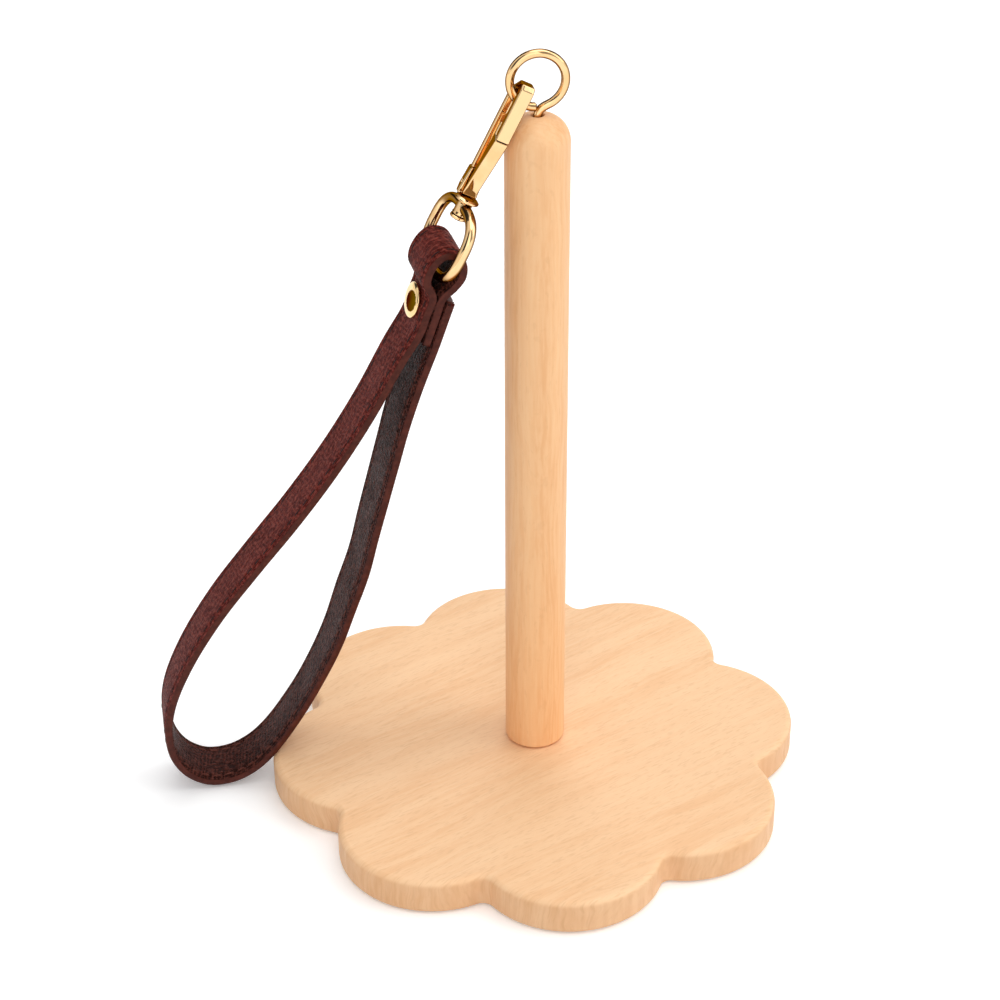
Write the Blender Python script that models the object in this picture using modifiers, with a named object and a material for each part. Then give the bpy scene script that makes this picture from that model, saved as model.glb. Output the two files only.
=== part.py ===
"""Yarn ball holder: scalloped board, spindle post, screw eye, snap hook and leather wrist strap."""
import math

import bmesh
import bpy
from mathutils import Matrix, Vector

mm = 0.001
object_name = "yarn_ball_holder"
weld_distance = 0.005 * mm
spin_weld_distance = 0.01 * mm
cut_allowance = 1.0 * mm

# Board
board_lobes = 8
board_lobe_circle_radius = 41.7 * mm
board_lobe_radius = 22.4 * mm
board_notch_radius = 2.6 * mm
board_first_lobe_angle = math.radians(10.8)
board_thickness = 8.8 * mm
board_edge_rounding = 1.6 * mm
board_edge_steps = 3
board_lobe_arc_steps = 17
board_notch_arc_steps = 5
insert_bore_radius = 3.6 * mm

# Post
post_radius = 7.1 * mm
post_top = 171.0 * mm
post_shoulder_radius = 5.9 * mm
post_foot_chamfer = 0.6 * mm
post_foot_bore_radius = 2.45 * mm
post_foot_bore_depth = 17.0 * mm
post_eye_bore_radius = 1.35 * mm
post_eye_bore_depth = 13.5 * mm
post_eye_bore_chamfer = 0.2 * mm
touch_gap = 0.25 * mm
shoulder_steps = 8

# Hidden fastener between board and post
bolt_wood_core_radius = 1.7 * mm
bolt_wood_thread_radius = 2.3 * mm
bolt_wood_length = 15.5 * mm
bolt_wood_pitch = 1.9 * mm
bolt_wood_plain_length = 2.0 * mm
bolt_neck_taper = 0.3 * mm
bolt_machine_core_radius = 1.5 * mm
bolt_machine_thread_radius = 1.85 * mm
bolt_machine_length = 6.4 * mm
bolt_machine_pitch = 0.8 * mm
bolt_thread_lead = 0.2 * mm
insert_thread_radius = 3.45 * mm
insert_core_radius = 3.0 * mm
insert_bore = 2.0 * mm
insert_pitch = 1.4 * mm
insert_bottom = 1.2 * mm
insert_sink = 0.1 * mm
insert_thread_lead = 0.6 * mm

# Screw eye
eye_above_post = 7.7 * mm
eye_height = post_top + eye_above_post
eye_mean_radius = 5.94 * mm
eye_wire_radius = 0.96 * mm
eye_turn = math.radians(10.6)
eye_tail_angle = math.radians(249.0)
eye_neck_angle = math.radians(-66.0)
eye_arc_steps = 50
eye_neck_steps = 7
eye_shank_depth = 12.6 * mm
eye_thread_radius = 1.2 * mm
eye_thread_core_radius = 0.85 * mm
eye_thread_pitch = 1.05 * mm
eye_thread_turns = 8
eye_foot_below_post_top = 2.2 * mm
eye_shank_overlap = 0.4 * mm
eye_shank_cap = 0.3 * mm
eye_plain_length = 0.6 * mm
eye_thread_lead = 0.8 * mm

# Snap hook: how it hangs on the eye, then its own sizes
clasp_lean = math.radians(27.2)
clasp_turn = math.radians(14.2)
clasp_roll = math.radians(-4.1)
clasp_wire_angle = math.radians(219.0)
clasp_forward_shift = 1.36 * mm
clasp_arch_above_wire = 4.58 * mm
clasp_depth = 7.82 * mm
clasp_width = 3.05 * mm
clasp_edge_rounding = 0.28 * mm
clasp_front_chamfer = 0.8 * mm
clasp_front_drop = 1.05 * mm
clasp_back_chamfer = 4.1 * mm
clasp_back_drop = 3.2 * mm
nose_thickness = 2.0 * mm
arch_thickness = 1.8 * mm
arch_inner_corner = 1.0 * mm
arch_back_thickness = 1.3 * mm
wire_groove_spread = math.radians(40.0)
wire_groove_steps = 16
spine_thickness = 1.3 * mm
block_top = 22.0 * mm
block_bottom = 27.95 * mm
block_front = -1.4 * mm
block_top_width = 3.7 * mm
block_bottom_width = 4.7 * mm
block_back_inset = 0.35 * mm
block_foot_inset = 1.1 * mm
block_into_collar = 0.3 * mm
block_bend_below_pivot = 1.0 * mm
block_overlap = 0.05 * mm
block_proud = 0.06 * mm
collar_radius = 2.75 * mm
collar_bottom = 28.8 * mm
collar_rim_top = 28.3 * mm
collar_dish = 0.15 * mm
collar_edge = 0.12 * mm
gate_tip = 9.6 * mm
gate_tongue_thickness = 0.95 * mm
gate_seam_gap = 0.28 * mm
gate_lap_gap = 0.3 * mm
gate_shoulder = 13.3 * mm
gate_foot = 27.65 * mm
gate_foot_front = -0.05 * mm
gate_foot_back = -1.1 * mm
gate_back_below_seam = 0.6 * mm
gate_bend_below_shoulder = 1.0 * mm
gate_tip_back_corner = 0.3 * mm
gate_tip_front_corner = (0.25 * mm, 0.4 * mm)
gate_edge_rounding = 0.2 * mm
gate_lug_root = 0.3 * mm
gate_pivot_down = 25.7 * mm
gate_pivot_back = 2.3 * mm
gate_lug_radius = 0.85 * mm
gate_lug_width = 1.5 * mm
gate_channel_width = 2.0 * mm
gate_channel_reach = 1.0 * mm
gate_pin_radius = 0.4 * mm
gate_pin_clearance = 0.08 * mm
gate_pin_half_length = 1.95 * mm
pin_drill_reach = 4.0 * mm
arc_steps = 6
spring_down = 23.3 * mm
spring_coil_radius = 0.5 * mm
spring_wire_radius = 0.11 * mm
spring_pocket_radius = 0.75 * mm
spring_back = 3.15 * mm
spring_front = 0.8 * mm
spring_pocket_clearance = 0.1 * mm
spring_end_gap = 0.12 * mm
spring_turns = 6
spring_turn_steps = 12

# Swivel: rivet, hub and oval ring
swivel_hub_top = 29.05 * mm
swivel_hub_length = 3.1 * mm
swivel_hub_radius = 1.68 * mm
swivel_bore_radius = 0.95 * mm
swivel_hub_edge = 0.2 * mm
swivel_bead = 0.12 * mm
swivel_bead_heights = (0.6 * mm, 0.3 * mm, 0.1 * mm)
ring_start = 30.25 * mm
ring_half_length = 7.58 * mm
ring_half_width = 9.6 * mm
ring_squareness = 2.85
ring_wire_radius = 1.2 * mm
ring_turn = math.radians(80.1)
ring_steps = 56
rivet_shank_radius = 0.75 * mm
rivet_shank_top = 28.05 * mm
rivet_bore_radius = 0.9 * mm
rivet_bore_clearance = 0.15 * mm
rivet_shank_edge = 0.1 * mm
rivet_head_edge = 0.15 * mm
rivet_head_side = 0.5 * mm
rivet_head_crown = 0.8 * mm
rivet_head_radius = 1.9 * mm
rivet_head_thickness = 0.95 * mm
rivet_gap = 0.22 * mm

# Wrist strap: plane, drop and reach of its path, then its section
strap_yaw = math.radians(11.0)
strap_tilt = math.radians(5.27)
strap_twist = 0.13
strap_from_ring_bar = (-0.118 * mm, -0.036 * mm, -0.141 * mm)
strap_drop = 137.0 * mm
strap_reach = 65.0 * mm
strap_width = 12.0 * mm
ply_thickness = 0.86 * mm
ply_gap = 0.18 * mm
ply_edge_rounding = 0.14 * mm
layer_pitch = 2.15 * mm
sandwich_point = (0.8 * mm, -8.0 * mm)
sandwich_slant = math.radians(17.0)
rivet_along = 0.5 * mm
tab_end_along = 7.6 * mm
tab_bend_along = -4.3 * mm
left_bend_along = -4.2 * mm
left_leave_along = 4.8 * mm
right_end_along = -3.6 * mm
right_start_beyond = 0.4 * mm
path_max_turn = math.radians(7.0)
path_max_step = 7.0 * mm
path_fine_steps = 24

# Fold round the ring as shares of its own reach and height, then the open loop as shares of reach and drop
fold_reach = 5.0 * mm
fold_height = 6.75 * mm
fold_shares = (
    (-0.598, -0.193),
    (-0.923, 0.148),
    (-0.988, 0.503),
    (-0.845, 0.830),
    (-0.585, 0.978),
    (-0.234, 1.000),
    (0.117, 0.830),
    (0.455, 0.4445),
    (0.572, 0.030),
)
loop_shares = (
    (0.132, -0.1445),
    (0.236, -0.2400),
    (0.377, -0.3520),
    (0.508, -0.4430),
    (0.655, -0.5360),
    (0.798, -0.6310),
    (0.918, -0.7320),
    (0.983, -0.8150),
    (1.000, -0.8760),
    (0.985, -0.9340),
    (0.938, -0.9740),
    (0.865, -0.9970),
    (0.782, -0.9970),
    (0.705, -0.9800),
    (0.631, -0.9460),
    (0.523, -0.8680),
    (0.440, -0.7905),
    (0.371, -0.7140),
    (0.317, -0.6370),
    (0.267, -0.5630),
    (0.231, -0.4880),
    (0.194, -0.4150),
    (0.158, -0.3440),
    (0.1215, -0.2740),
    (0.077, -0.2040),
    (0.046, -0.1600),
)

# Rivet through the sandwich
cap_radius = 4.0 * mm
cap_height = 1.25 * mm
cap_rim = 0.35 * mm
cap_rim_edge = 0.08 * mm
cap_socket_radius = 1.35 * mm
cap_socket_depth = 0.75 * mm
strap_post_radius = 1.1 * mm
strap_hole_radius = 1.4 * mm
back_radius = 3.3 * mm
back_height = 0.9 * mm
back_edge = 0.1 * mm
back_side = 0.2 * mm
strap_post_edge = 0.15 * mm
strap_post_end_gap = 0.2 * mm
leather_to_metal_gap = 0.12 * mm

turn_steps = 40
post_turn_steps = 44
small_turn_steps = 24
hidden_turn_steps = 20
wire_round_steps = 3
ring_round_steps = 4

colours = {
    "wood": ((0.80, 0.52, 0.30, 1.0), 0.45, 0.0),
    "gold": ((0.86, 0.58, 0.26, 1.0), 0.16, 1.0),
    "steel": ((0.62, 0.62, 0.60, 1.0), 0.30, 1.0),
    "leather": ((0.20, 0.045, 0.030, 1.0), 0.55, 0.0),
    "lining": ((0.23, 0.060, 0.040, 1.0), 0.62, 0.0),
}


def clear_scene():
    for ob in list(bpy.data.objects):
        bpy.data.objects.remove(ob)


clear_scene()
parts = bpy.data.collections.new(object_name)
cutters = bpy.data.collections.new("cutters")
bpy.context.scene.collection.children.link(parts)
bpy.context.scene.collection.children.link(cutters)


def material_for(name, kind):
    colour, rough, metal = colours[kind]
    mat = bpy.data.materials.new(name)
    mat.use_nodes = True
    shader = mat.node_tree.nodes["Principled BSDF"]
    shader.inputs["Base Color"].default_value = colour
    shader.inputs["Roughness"].default_value = rough
    shader.inputs["Metallic"].default_value = metal
    mat.diffuse_color = colour
    return mat


def keep(ob, name, kind):
    """Name a finished part, give it its material and move it to the parts collection."""
    ob.name = name
    ob.data.name = name
    for col in list(ob.users_collection):
        col.objects.unlink(ob)
    parts.objects.link(ob)
    ob.data.materials.clear()
    ob.data.materials.append(material_for(name, kind))
    return ob


def as_cutter(ob):
    for col in list(ob.users_collection):
        col.objects.unlink(ob)
    cutters.objects.link(ob)
    ob.hide_render = True
    ob.display_type = "WIRE"
    return ob


def plain_mesh(ob):
    """Turn a curve, or an object with modifiers, into a welded mesh object in world axes."""
    bpy.context.view_layer.update()
    graph = bpy.context.evaluated_depsgraph_get()
    mesh = bpy.data.meshes.new_from_object(ob.evaluated_get(graph))
    mesh.transform(ob.matrix_world)
    work = bmesh.new()
    work.from_mesh(mesh)
    bmesh.ops.remove_doubles(work, verts=work.verts, dist=weld_distance)
    bmesh.ops.recalc_face_normals(work, faces=work.faces)
    work.to_mesh(mesh)
    work.free()
    fresh = bpy.data.objects.new(ob.name, mesh)
    parts.objects.link(fresh)
    bpy.data.objects.remove(ob)
    return fresh


def smooth(ob, angle=math.radians(32.0)):
    """Smooth shading with sharp edges kept where faces meet at more than the angle."""
    for poly in ob.data.polygons:
        poly.use_smooth = True
    ob.data.set_sharp_from_angle(angle=angle)
    return ob


def wire(name, points, radius, cyclic=False, rounds=wire_round_steps):
    """Round wire along a run of points."""
    curve = bpy.data.curves.new(name, "CURVE")
    curve.dimensions = "3D"
    curve.bevel_depth = radius
    curve.bevel_resolution = rounds
    curve.use_fill_caps = not cyclic
    line = curve.splines.new("POLY")
    line.points.add(len(points) - 1)
    for spot, place in zip(line.points, points):
        spot.co = (*place, 1.0)
    line.use_cyclic_u = cyclic
    ob = bpy.data.objects.new(name, curve)
    parts.objects.link(ob)
    return plain_mesh(ob)


def plate(name, outline, thickness, rounding=0.0, rounds=1):
    """Flat piece from a closed outline in its own XY plane, centred on it, with rounded edges."""
    curve = bpy.data.curves.new(name, "CURVE")
    curve.dimensions = "2D"
    curve.fill_mode = "BOTH"
    curve.extrude = thickness / 2 - rounding
    curve.bevel_depth = rounding
    curve.bevel_resolution = rounds
    curve.offset = -rounding
    line = curve.splines.new("POLY")
    line.points.add(len(outline) - 1)
    for spot, place in zip(line.points, outline):
        spot.co = (place[0], place[1], 0.0, 1.0)
    line.use_cyclic_u = True
    ob = bpy.data.objects.new(name, curve)
    parts.objects.link(ob)
    return plain_mesh(ob)


def turned(name, profile, steps=turn_steps):
    """Body of revolution about Z from (radius, height) points, outer side listed top to bottom."""
    mesh = bpy.data.meshes.new(name)
    work = bmesh.new()
    spots = [work.verts.new((radius, 0.0, height)) for radius, height in profile]
    for first, second in zip(spots, spots[1:]):
        work.edges.new((first, second))
    work.to_mesh(mesh)
    work.free()
    ob = bpy.data.objects.new(name, mesh)
    parts.objects.link(ob)
    spin = ob.modifiers.new("turn", "SCREW")
    spin.axis = "Z"
    spin.angle = math.tau
    spin.steps = steps
    spin.render_steps = steps
    spin.use_merge_vertices = True
    spin.merge_threshold = spin_weld_distance
    spin.use_normal_calculate = True
    return plain_mesh(ob)


def rod(name, start, end, radius, steps=small_turn_steps, end_radius=None):
    """Round bar between two points."""
    start = Vector(start)
    end = Vector(end)
    along = end - start
    mesh = bpy.data.meshes.new(name)
    work = bmesh.new()
    second = radius if end_radius is None else end_radius
    bmesh.ops.create_cone(work, cap_ends=True, segments=steps, radius1=radius, radius2=second,
                          depth=along.length)
    work.to_mesh(mesh)
    work.free()
    turn = along.to_track_quat("Z", "Y").to_matrix().to_4x4()
    mesh.transform(Matrix.Translation((start + end) / 2) @ turn)
    ob = bpy.data.objects.new(name, mesh)
    parts.objects.link(ob)
    return ob


def box(name, low, high):
    mesh = bpy.data.meshes.new(name)
    work = bmesh.new()
    bmesh.ops.create_cube(work, size=1.0)
    work.to_mesh(mesh)
    work.free()
    low = Vector(low)
    high = Vector(high)
    size = high - low
    mesh.transform(Matrix.Translation((low + high) / 2) @ Matrix.Diagonal((*size, 1.0)))
    ob = bpy.data.objects.new(name, mesh)
    parts.objects.link(ob)
    return ob


def join(ob, other, kind):
    """Exact boolean of one mesh object with another, applied; the other becomes a cutter."""
    as_cutter(other)
    mod = ob.modifiers.new(kind.lower(), "BOOLEAN")
    mod.operation = kind
    mod.solver = "EXACT"
    mod.object = other
    return ob


def applied(ob):
    """The object with its modifiers made real."""
    return plain_mesh(ob)


def moved(ob, matrix):
    ob.data.transform(matrix)
    return ob


def origin_at(ob, place):
    """Put the origin on a world point without moving the shape."""
    place = Vector(place)
    ob.data.transform(Matrix.Translation(-place))
    ob.location = place
    return ob


def arc(centre, radius, start, end, steps):
    """Points of an arc in a plane, both ends included."""
    spots = []
    for step in range(steps + 1):
        angle = start + (end - start) * step / steps
        spots.append((centre[0] + radius * math.cos(angle), centre[1] + radius * math.sin(angle)))
    return spots


def thread_profile(top, core, crest, pitch, turns):
    """Ridges of a thread as (radius, height) points going down."""
    spots = []
    for turn in range(turns):
        height = top - turn * pitch
        spots.append((core, height))
        spots.append((crest, height - pitch / 2))
    spots.append((core, top - turns * pitch))
    return spots


# Board
def board_outline():
    half = math.pi / board_lobes
    side = board_lobe_circle_radius * math.sin(half)
    reach = board_lobe_radius + board_notch_radius
    notch_distance = board_lobe_circle_radius * math.cos(half) + math.sqrt(reach ** 2 - side ** 2)
    spots = []
    for lobe in range(board_lobes):
        angle = board_first_lobe_angle + lobe * math.tau / board_lobes
        centre = (board_lobe_circle_radius * math.cos(angle), board_lobe_circle_radius * math.sin(angle))
        notch_angle = angle + half
        notch = (notch_distance * math.cos(notch_angle), notch_distance * math.sin(notch_angle))
        toward = math.atan2(notch[1] - centre[1], notch[0] - centre[0])
        spread = math.remainder(toward - angle, math.tau)
        spots += arc(centre, board_lobe_radius, angle - spread, angle + spread, board_lobe_arc_steps)
        start = toward + math.pi
        mirrored = 2 * notch_angle - toward + math.pi
        swing = math.remainder(mirrored - start, math.tau)
        spots += arc(notch, board_notch_radius, start, start + swing, board_notch_arc_steps)[1:-1]
    return spots


def build_board():
    ob = plate("board", board_outline(), board_thickness, board_edge_rounding, board_edge_steps - 1)
    moved(ob, Matrix.Translation((0.0, 0.0, board_thickness / 2)))
    bore_top = board_thickness + cut_allowance
    bore = rod("insert_bore", (0.0, 0.0, insert_bottom - touch_gap), (0.0, 0.0, bore_top),
               insert_bore_radius, turn_steps)
    join(ob, bore, "DIFFERENCE")
    return smooth(keep(applied(ob), "base_board", "wood"))


# Post
post_foot = board_thickness + touch_gap


def build_post():
    shoulder = (post_radius - post_shoulder_radius, post_top - post_shoulder_radius)
    profile = [(0.0, post_top - post_eye_bore_depth), (post_eye_bore_radius, post_top - post_eye_bore_depth)]
    profile += [(post_eye_bore_radius, post_top - post_eye_bore_chamfer)]
    edge = post_eye_bore_radius + post_eye_bore_chamfer
    edge_angle = math.acos((edge - shoulder[0]) / post_shoulder_radius)
    profile += arc(shoulder, post_shoulder_radius, edge_angle, 0.0, shoulder_steps)
    profile += [(post_radius, post_foot + post_foot_chamfer), (post_radius - post_foot_chamfer, post_foot)]
    profile += [(post_foot_bore_radius, post_foot), (post_foot_bore_radius, post_foot + post_foot_bore_depth)]
    profile += [(0.0, post_foot + post_foot_bore_depth)]
    return smooth(keep(turned("post", profile, post_turn_steps), "post", "wood"))


def build_bolt():
    top = post_foot + bolt_wood_length
    wood_turns = int((bolt_wood_length - bolt_wood_plain_length) / bolt_wood_pitch)
    profile = [(0.0, top)]
    profile += thread_profile(top, bolt_wood_core_radius / 2, bolt_wood_core_radius, bolt_wood_pitch, 1)[1:2]
    profile += thread_profile(top - bolt_wood_pitch, bolt_wood_core_radius, bolt_wood_thread_radius,
                              bolt_wood_pitch, wood_turns - 1)
    neck = top - wood_turns * bolt_wood_pitch
    profile += [(bolt_machine_core_radius, neck - bolt_neck_taper), (bolt_machine_core_radius, post_foot)]
    turns = int(bolt_machine_length / bolt_machine_pitch)
    thread_top = post_foot - bolt_thread_lead
    profile += thread_profile(thread_top, bolt_machine_core_radius, bolt_machine_thread_radius,
                              bolt_machine_pitch, turns)
    end = thread_top - turns * bolt_machine_pitch
    profile += [(0.0, end)]
    return smooth(keep(turned("bolt", profile, hidden_turn_steps), "hanger_bolt", "steel"))


def build_insert():
    top = board_thickness - insert_sink
    turns = int((top - insert_bottom - 2 * insert_thread_lead) / insert_pitch)
    profile = [(insert_bore, insert_bottom), (insert_bore, top), (insert_core_radius, top)]
    profile += thread_profile(top - insert_thread_lead, insert_core_radius, insert_thread_radius,
                              insert_pitch, turns)
    profile += [(insert_core_radius, insert_bottom), (insert_bore, insert_bottom)]
    return smooth(keep(turned("insert", profile, hidden_turn_steps), "threaded_insert", "gold"))


# Screw eye
def build_eye():
    centre = Vector((0.0, 0.0, eye_height))
    spots = []
    for step in range(eye_arc_steps + 1):
        angle = eye_tail_angle + (eye_neck_angle - eye_tail_angle) * step / eye_arc_steps
        spots.append(centre + eye_mean_radius * Vector((math.cos(angle), 0.0, math.sin(angle))))
    last = spots[-1]
    heading = Vector((math.sin(eye_neck_angle), 0.0, -math.cos(eye_neck_angle)))
    foot = Vector((0.0, 0.0, post_top - eye_foot_below_post_top))
    pull = (last - foot).length * 0.55
    for step in range(1, eye_neck_steps + 1):
        share = step / eye_neck_steps
        first = last + heading * pull
        second = foot + Vector((0.0, 0.0, pull))
        place = ((1 - share) ** 3 * last + 3 * share * (1 - share) ** 2 * first
                 + 3 * share ** 2 * (1 - share) * second + share ** 3 * foot)
        spots.append(place)
    ring = wire("eye_ring", spots, eye_wire_radius)
    moved(ring, Matrix.Rotation(eye_turn, 4, "Z"))
    start = post_top - eye_foot_below_post_top + eye_shank_overlap
    profile = [(0.0, start + eye_shank_cap), (eye_wire_radius * 0.97, start + eye_shank_cap)]
    profile += [(eye_wire_radius * 0.97, start - eye_plain_length)]
    profile += thread_profile(start - eye_thread_lead, eye_thread_core_radius, eye_thread_radius,
                              eye_thread_pitch, eye_thread_turns)
    profile += [(0.0, post_top - eye_shank_depth)]
    shank = turned("eye_shank", profile, small_turn_steps)
    join(ring, shank, "UNION")
    return smooth(keep(applied(ring), "screw_eye", "gold"))


# Snap hook axes: X across the flats, Y to the back, Z up the hook from the wire of the eye
def clasp_matrix():
    turn = Matrix.Rotation(clasp_turn, 4, "Z") @ Matrix.Rotation(clasp_lean, 4, "Y")
    turn = turn @ Matrix.Rotation(clasp_roll, 4, "Z")
    out = eye_mean_radius * math.cos(clasp_wire_angle)
    place = Vector((out * math.cos(eye_turn), out * math.sin(eye_turn),
                    eye_height + eye_mean_radius * math.sin(clasp_wire_angle)))
    return Matrix.Translation(place) @ turn @ Matrix.Translation((0.0, -clasp_forward_shift, 0.0))


clasp = clasp_matrix()
eye_centre = Vector((0.0, 0.0, eye_height))


def side(front, down):
    """A point of the hook's side view: forward of its middle, and down from its top."""
    return (-front, clasp_arch_above_wire - down)


def wire_groove():
    """Room for the eye's wire where the hook hangs on it, concentric with the eye."""
    spots = []
    for step in range(wire_groove_steps + 1):
        angle = clasp_wire_angle + wire_groove_spread * (2 * step / wire_groove_steps - 1)
        spots.append(eye_mean_radius * Vector((math.cos(angle), 0.0, math.sin(angle))))
    groove = wire("wire_groove", spots, eye_wire_radius + touch_gap)
    return moved(groove, Matrix.Translation(eye_centre) @ Matrix.Rotation(eye_turn, 4, "Z"))


def in_clasp(across, front, down):
    return clasp @ Vector((across, -front, clasp_arch_above_wire - down))


side_to_clasp = Matrix(((0.0, 0.0, 1.0), (1.0, 0.0, 0.0), (0.0, 1.0, 0.0))).to_4x4()
half_depth = clasp_depth / 2
nose_inner = half_depth - nose_thickness
spine_inner = -half_depth + spine_thickness
pivot_front = -gate_pivot_back
seam_radius = math.hypot(half_depth - pivot_front, gate_pivot_down - gate_shoulder)


def on_seam(front, radius):
    """How far down a circle about the gate pin lies at a given distance forward."""
    return gate_pivot_down - math.sqrt(radius ** 2 - (front - pivot_front) ** 2)


def clasp_plate(name, spots, width, rounding, rounds=1):
    ob = plate(name, [side(front, down) for front, down in spots], width, rounding, rounds)
    return moved(ob, side_to_clasp)


def hook_outline():
    spots = [(half_depth - clasp_front_chamfer, 0.0), (half_depth, clasp_front_drop)]
    outer = seam_radius + gate_seam_gap
    for step in range(arc_steps + 1):
        front = half_depth + (nose_inner - half_depth) * step / arc_steps
        spots.append((front, on_seam(front, outer)))
    corner = arch_inner_corner
    spots += arc((nose_inner - corner, arch_thickness + corner), corner, 0.0, -math.pi / 2, arc_steps)
    steepness = clasp_back_drop / clasp_back_chamfer
    chamfer_top = -half_depth + clasp_back_chamfer
    wall = arch_back_thickness * math.hypot(1.0, steepness)
    spots += [(chamfer_top - (arch_thickness - wall) / steepness, arch_thickness)]
    spots += [(spine_inner, (chamfer_top - spine_inner) * steepness + wall)]
    spots += [(spine_inner, block_top), (block_front, block_top)]
    spots += [(block_front, block_bottom + block_into_collar)]
    spots += [(-half_depth + block_foot_inset, block_bottom + block_into_collar)]
    spots += [(-half_depth + block_back_inset, gate_pivot_down + block_bend_below_pivot)]
    spots += [(-half_depth, block_top)]
    spots += [(-half_depth, clasp_back_drop)]
    spots += [(-half_depth + clasp_back_chamfer, 0.0)]
    return spots


def widen(ob, top, top_share, bottom, bottom_share):
    """Taper a hook piece across its flats between two depths."""
    for vert in ob.data.vertices:
        down = clasp_arch_above_wire - vert.co.z
        share = min(max((down - top) / (bottom - top), 0.0), 1.0)
        vert.co.x *= top_share + (bottom_share - top_share) * share
    return ob


def build_hook():
    body = clasp_plate("hook", hook_outline(), clasp_width, clasp_edge_rounding, 2)
    block_spots = [(block_front, block_top + block_overlap), (block_front, block_bottom + block_into_collar)]
    block_spots += [(-half_depth + block_foot_inset, block_bottom + block_into_collar)]
    back = -half_depth + block_back_inset - block_overlap
    block_spots += [(back, gate_pivot_down + block_bend_below_pivot)]
    block_spots += [(-half_depth - block_proud, block_top + block_overlap)]
    block = clasp_plate("block", block_spots, block_bottom_width, clasp_edge_rounding, 2)
    widen(block, block_top, block_top_width / block_bottom_width, block_bottom, 1.0)
    profile = [(0.0, -block_bottom + collar_dish), (collar_radius * 0.80, -block_bottom)]
    profile += [(collar_radius, -collar_rim_top - block_overlap)]
    profile += [(collar_radius, -collar_bottom + collar_edge)]
    profile += [(collar_radius - collar_edge, -collar_bottom), (0.0, -collar_bottom)]
    collar = turned("collar", profile, turn_steps)
    moved(collar, Matrix.Translation((0.0, 0.0, clasp_arch_above_wire)))
    join(body, block, "UNION")
    join(body, collar, "UNION")
    channel_back = gate_pivot_back + gate_channel_reach
    height = clasp_arch_above_wire - gate_pivot_down
    channel_front = -block_front - cut_allowance
    channel = box("channel", (-gate_channel_width / 2, channel_front, height - gate_channel_reach),
                  (gate_channel_width / 2, channel_back, height + gate_channel_reach))
    join(body, channel, "DIFFERENCE")
    pin_hole = rod("pin_hole", (-pin_drill_reach, gate_pivot_back, height),
                   (pin_drill_reach, gate_pivot_back, height), gate_pin_radius + gate_pin_clearance)
    join(body, pin_hole, "DIFFERENCE")
    pocket_height = clasp_arch_above_wire - spring_down
    pocket = rod("spring_pocket", (0.0, -cut_allowance, pocket_height),
                 (0.0, spring_back + spring_pocket_clearance, pocket_height),
                 spring_pocket_radius, small_turn_steps)
    join(body, pocket, "DIFFERENCE")
    bore = rod("rivet_bore", (0.0, 0.0, clasp_arch_above_wire - collar_bottom - cut_allowance),
               (0.0, 0.0, clasp_arch_above_wire - rivet_shank_top + rivet_bore_clearance), rivet_bore_radius)
    join(body, bore, "DIFFERENCE")
    body = moved(applied(body), clasp)
    join(body, wire_groove(), "DIFFERENCE")
    return origin_at(smooth(keep(applied(body), "hook_body", "gold")), eye_centre)


def gate_back(down):
    slope = (gate_foot_back - gate_back_below_seam) / (gate_foot - gate_shoulder - gate_bend_below_shoulder)
    return gate_back_below_seam + slope * (down - gate_shoulder - gate_bend_below_shoulder)


def build_gate():
    tongue_front = nose_inner - gate_lap_gap
    tongue_back = tongue_front - gate_tongue_thickness
    corner = gate_tip_back_corner
    spots = [(tongue_back, gate_tip + corner), (tongue_back + corner, gate_tip)]
    spots += [(tongue_front - gate_tip_front_corner[0], gate_tip)]
    spots += [(tongue_front, gate_tip + gate_tip_front_corner[1])]
    for step in range(arc_steps + 1):
        front = tongue_front + (half_depth - tongue_front) * step / arc_steps
        spots.append((front, on_seam(front, seam_radius)))
    spots += [(gate_foot_front, gate_foot), (gate_foot_back, gate_foot)]
    spots += [(gate_back_below_seam, gate_shoulder + gate_bend_below_shoulder)]
    gate = clasp_plate("gate", spots, clasp_width, gate_edge_rounding, 1)
    lug_spots = arc((pivot_front, gate_pivot_down), gate_lug_radius, math.pi / 2, math.pi * 1.5, 10)
    for down in (gate_pivot_down - gate_lug_radius, gate_pivot_down + gate_lug_radius):
        lug_spots.append((gate_back(down) + gate_lug_root, down))
    lug = clasp_plate("lug", lug_spots, gate_lug_width, 0.0, 0)
    join(gate, lug, "UNION")
    height = clasp_arch_above_wire - gate_pivot_down
    hole = rod("lug_hole", (-pin_drill_reach, gate_pivot_back, height),
               (pin_drill_reach, gate_pivot_back, height), gate_pin_radius + gate_pin_clearance)
    join(gate, hole, "DIFFERENCE")
    gate = moved(applied(gate), clasp)
    return origin_at(smooth(keep(gate, "gate", "gold")), in_clasp(0.0, pivot_front, gate_pivot_down))


def build_gate_pin():
    start = in_clasp(-gate_pin_half_length, pivot_front, gate_pivot_down)
    end = in_clasp(gate_pin_half_length, pivot_front, gate_pivot_down)
    pin = rod("pin", start, end, gate_pin_radius, small_turn_steps)
    return origin_at(smooth(keep(pin, "gate_pin", "steel")), in_clasp(0.0, pivot_front, gate_pivot_down))


def build_gate_spring():
    spots = []
    count = spring_turns * spring_turn_steps
    height = clasp_arch_above_wire - spring_down
    for step in range(count + 1):
        angle = math.tau * step / spring_turn_steps
        back = spring_front + (spring_back - spring_end_gap - spring_front) * step / count
        spots.append(Vector((spring_coil_radius * math.cos(angle), back,
                             height + spring_coil_radius * math.sin(angle))))
    coil = moved(wire("coil", spots, spring_wire_radius, rounds=1), clasp)
    return origin_at(smooth(keep(coil, "gate_spring", "steel")), in_clasp(0.0, -spring_back, spring_down))


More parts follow.
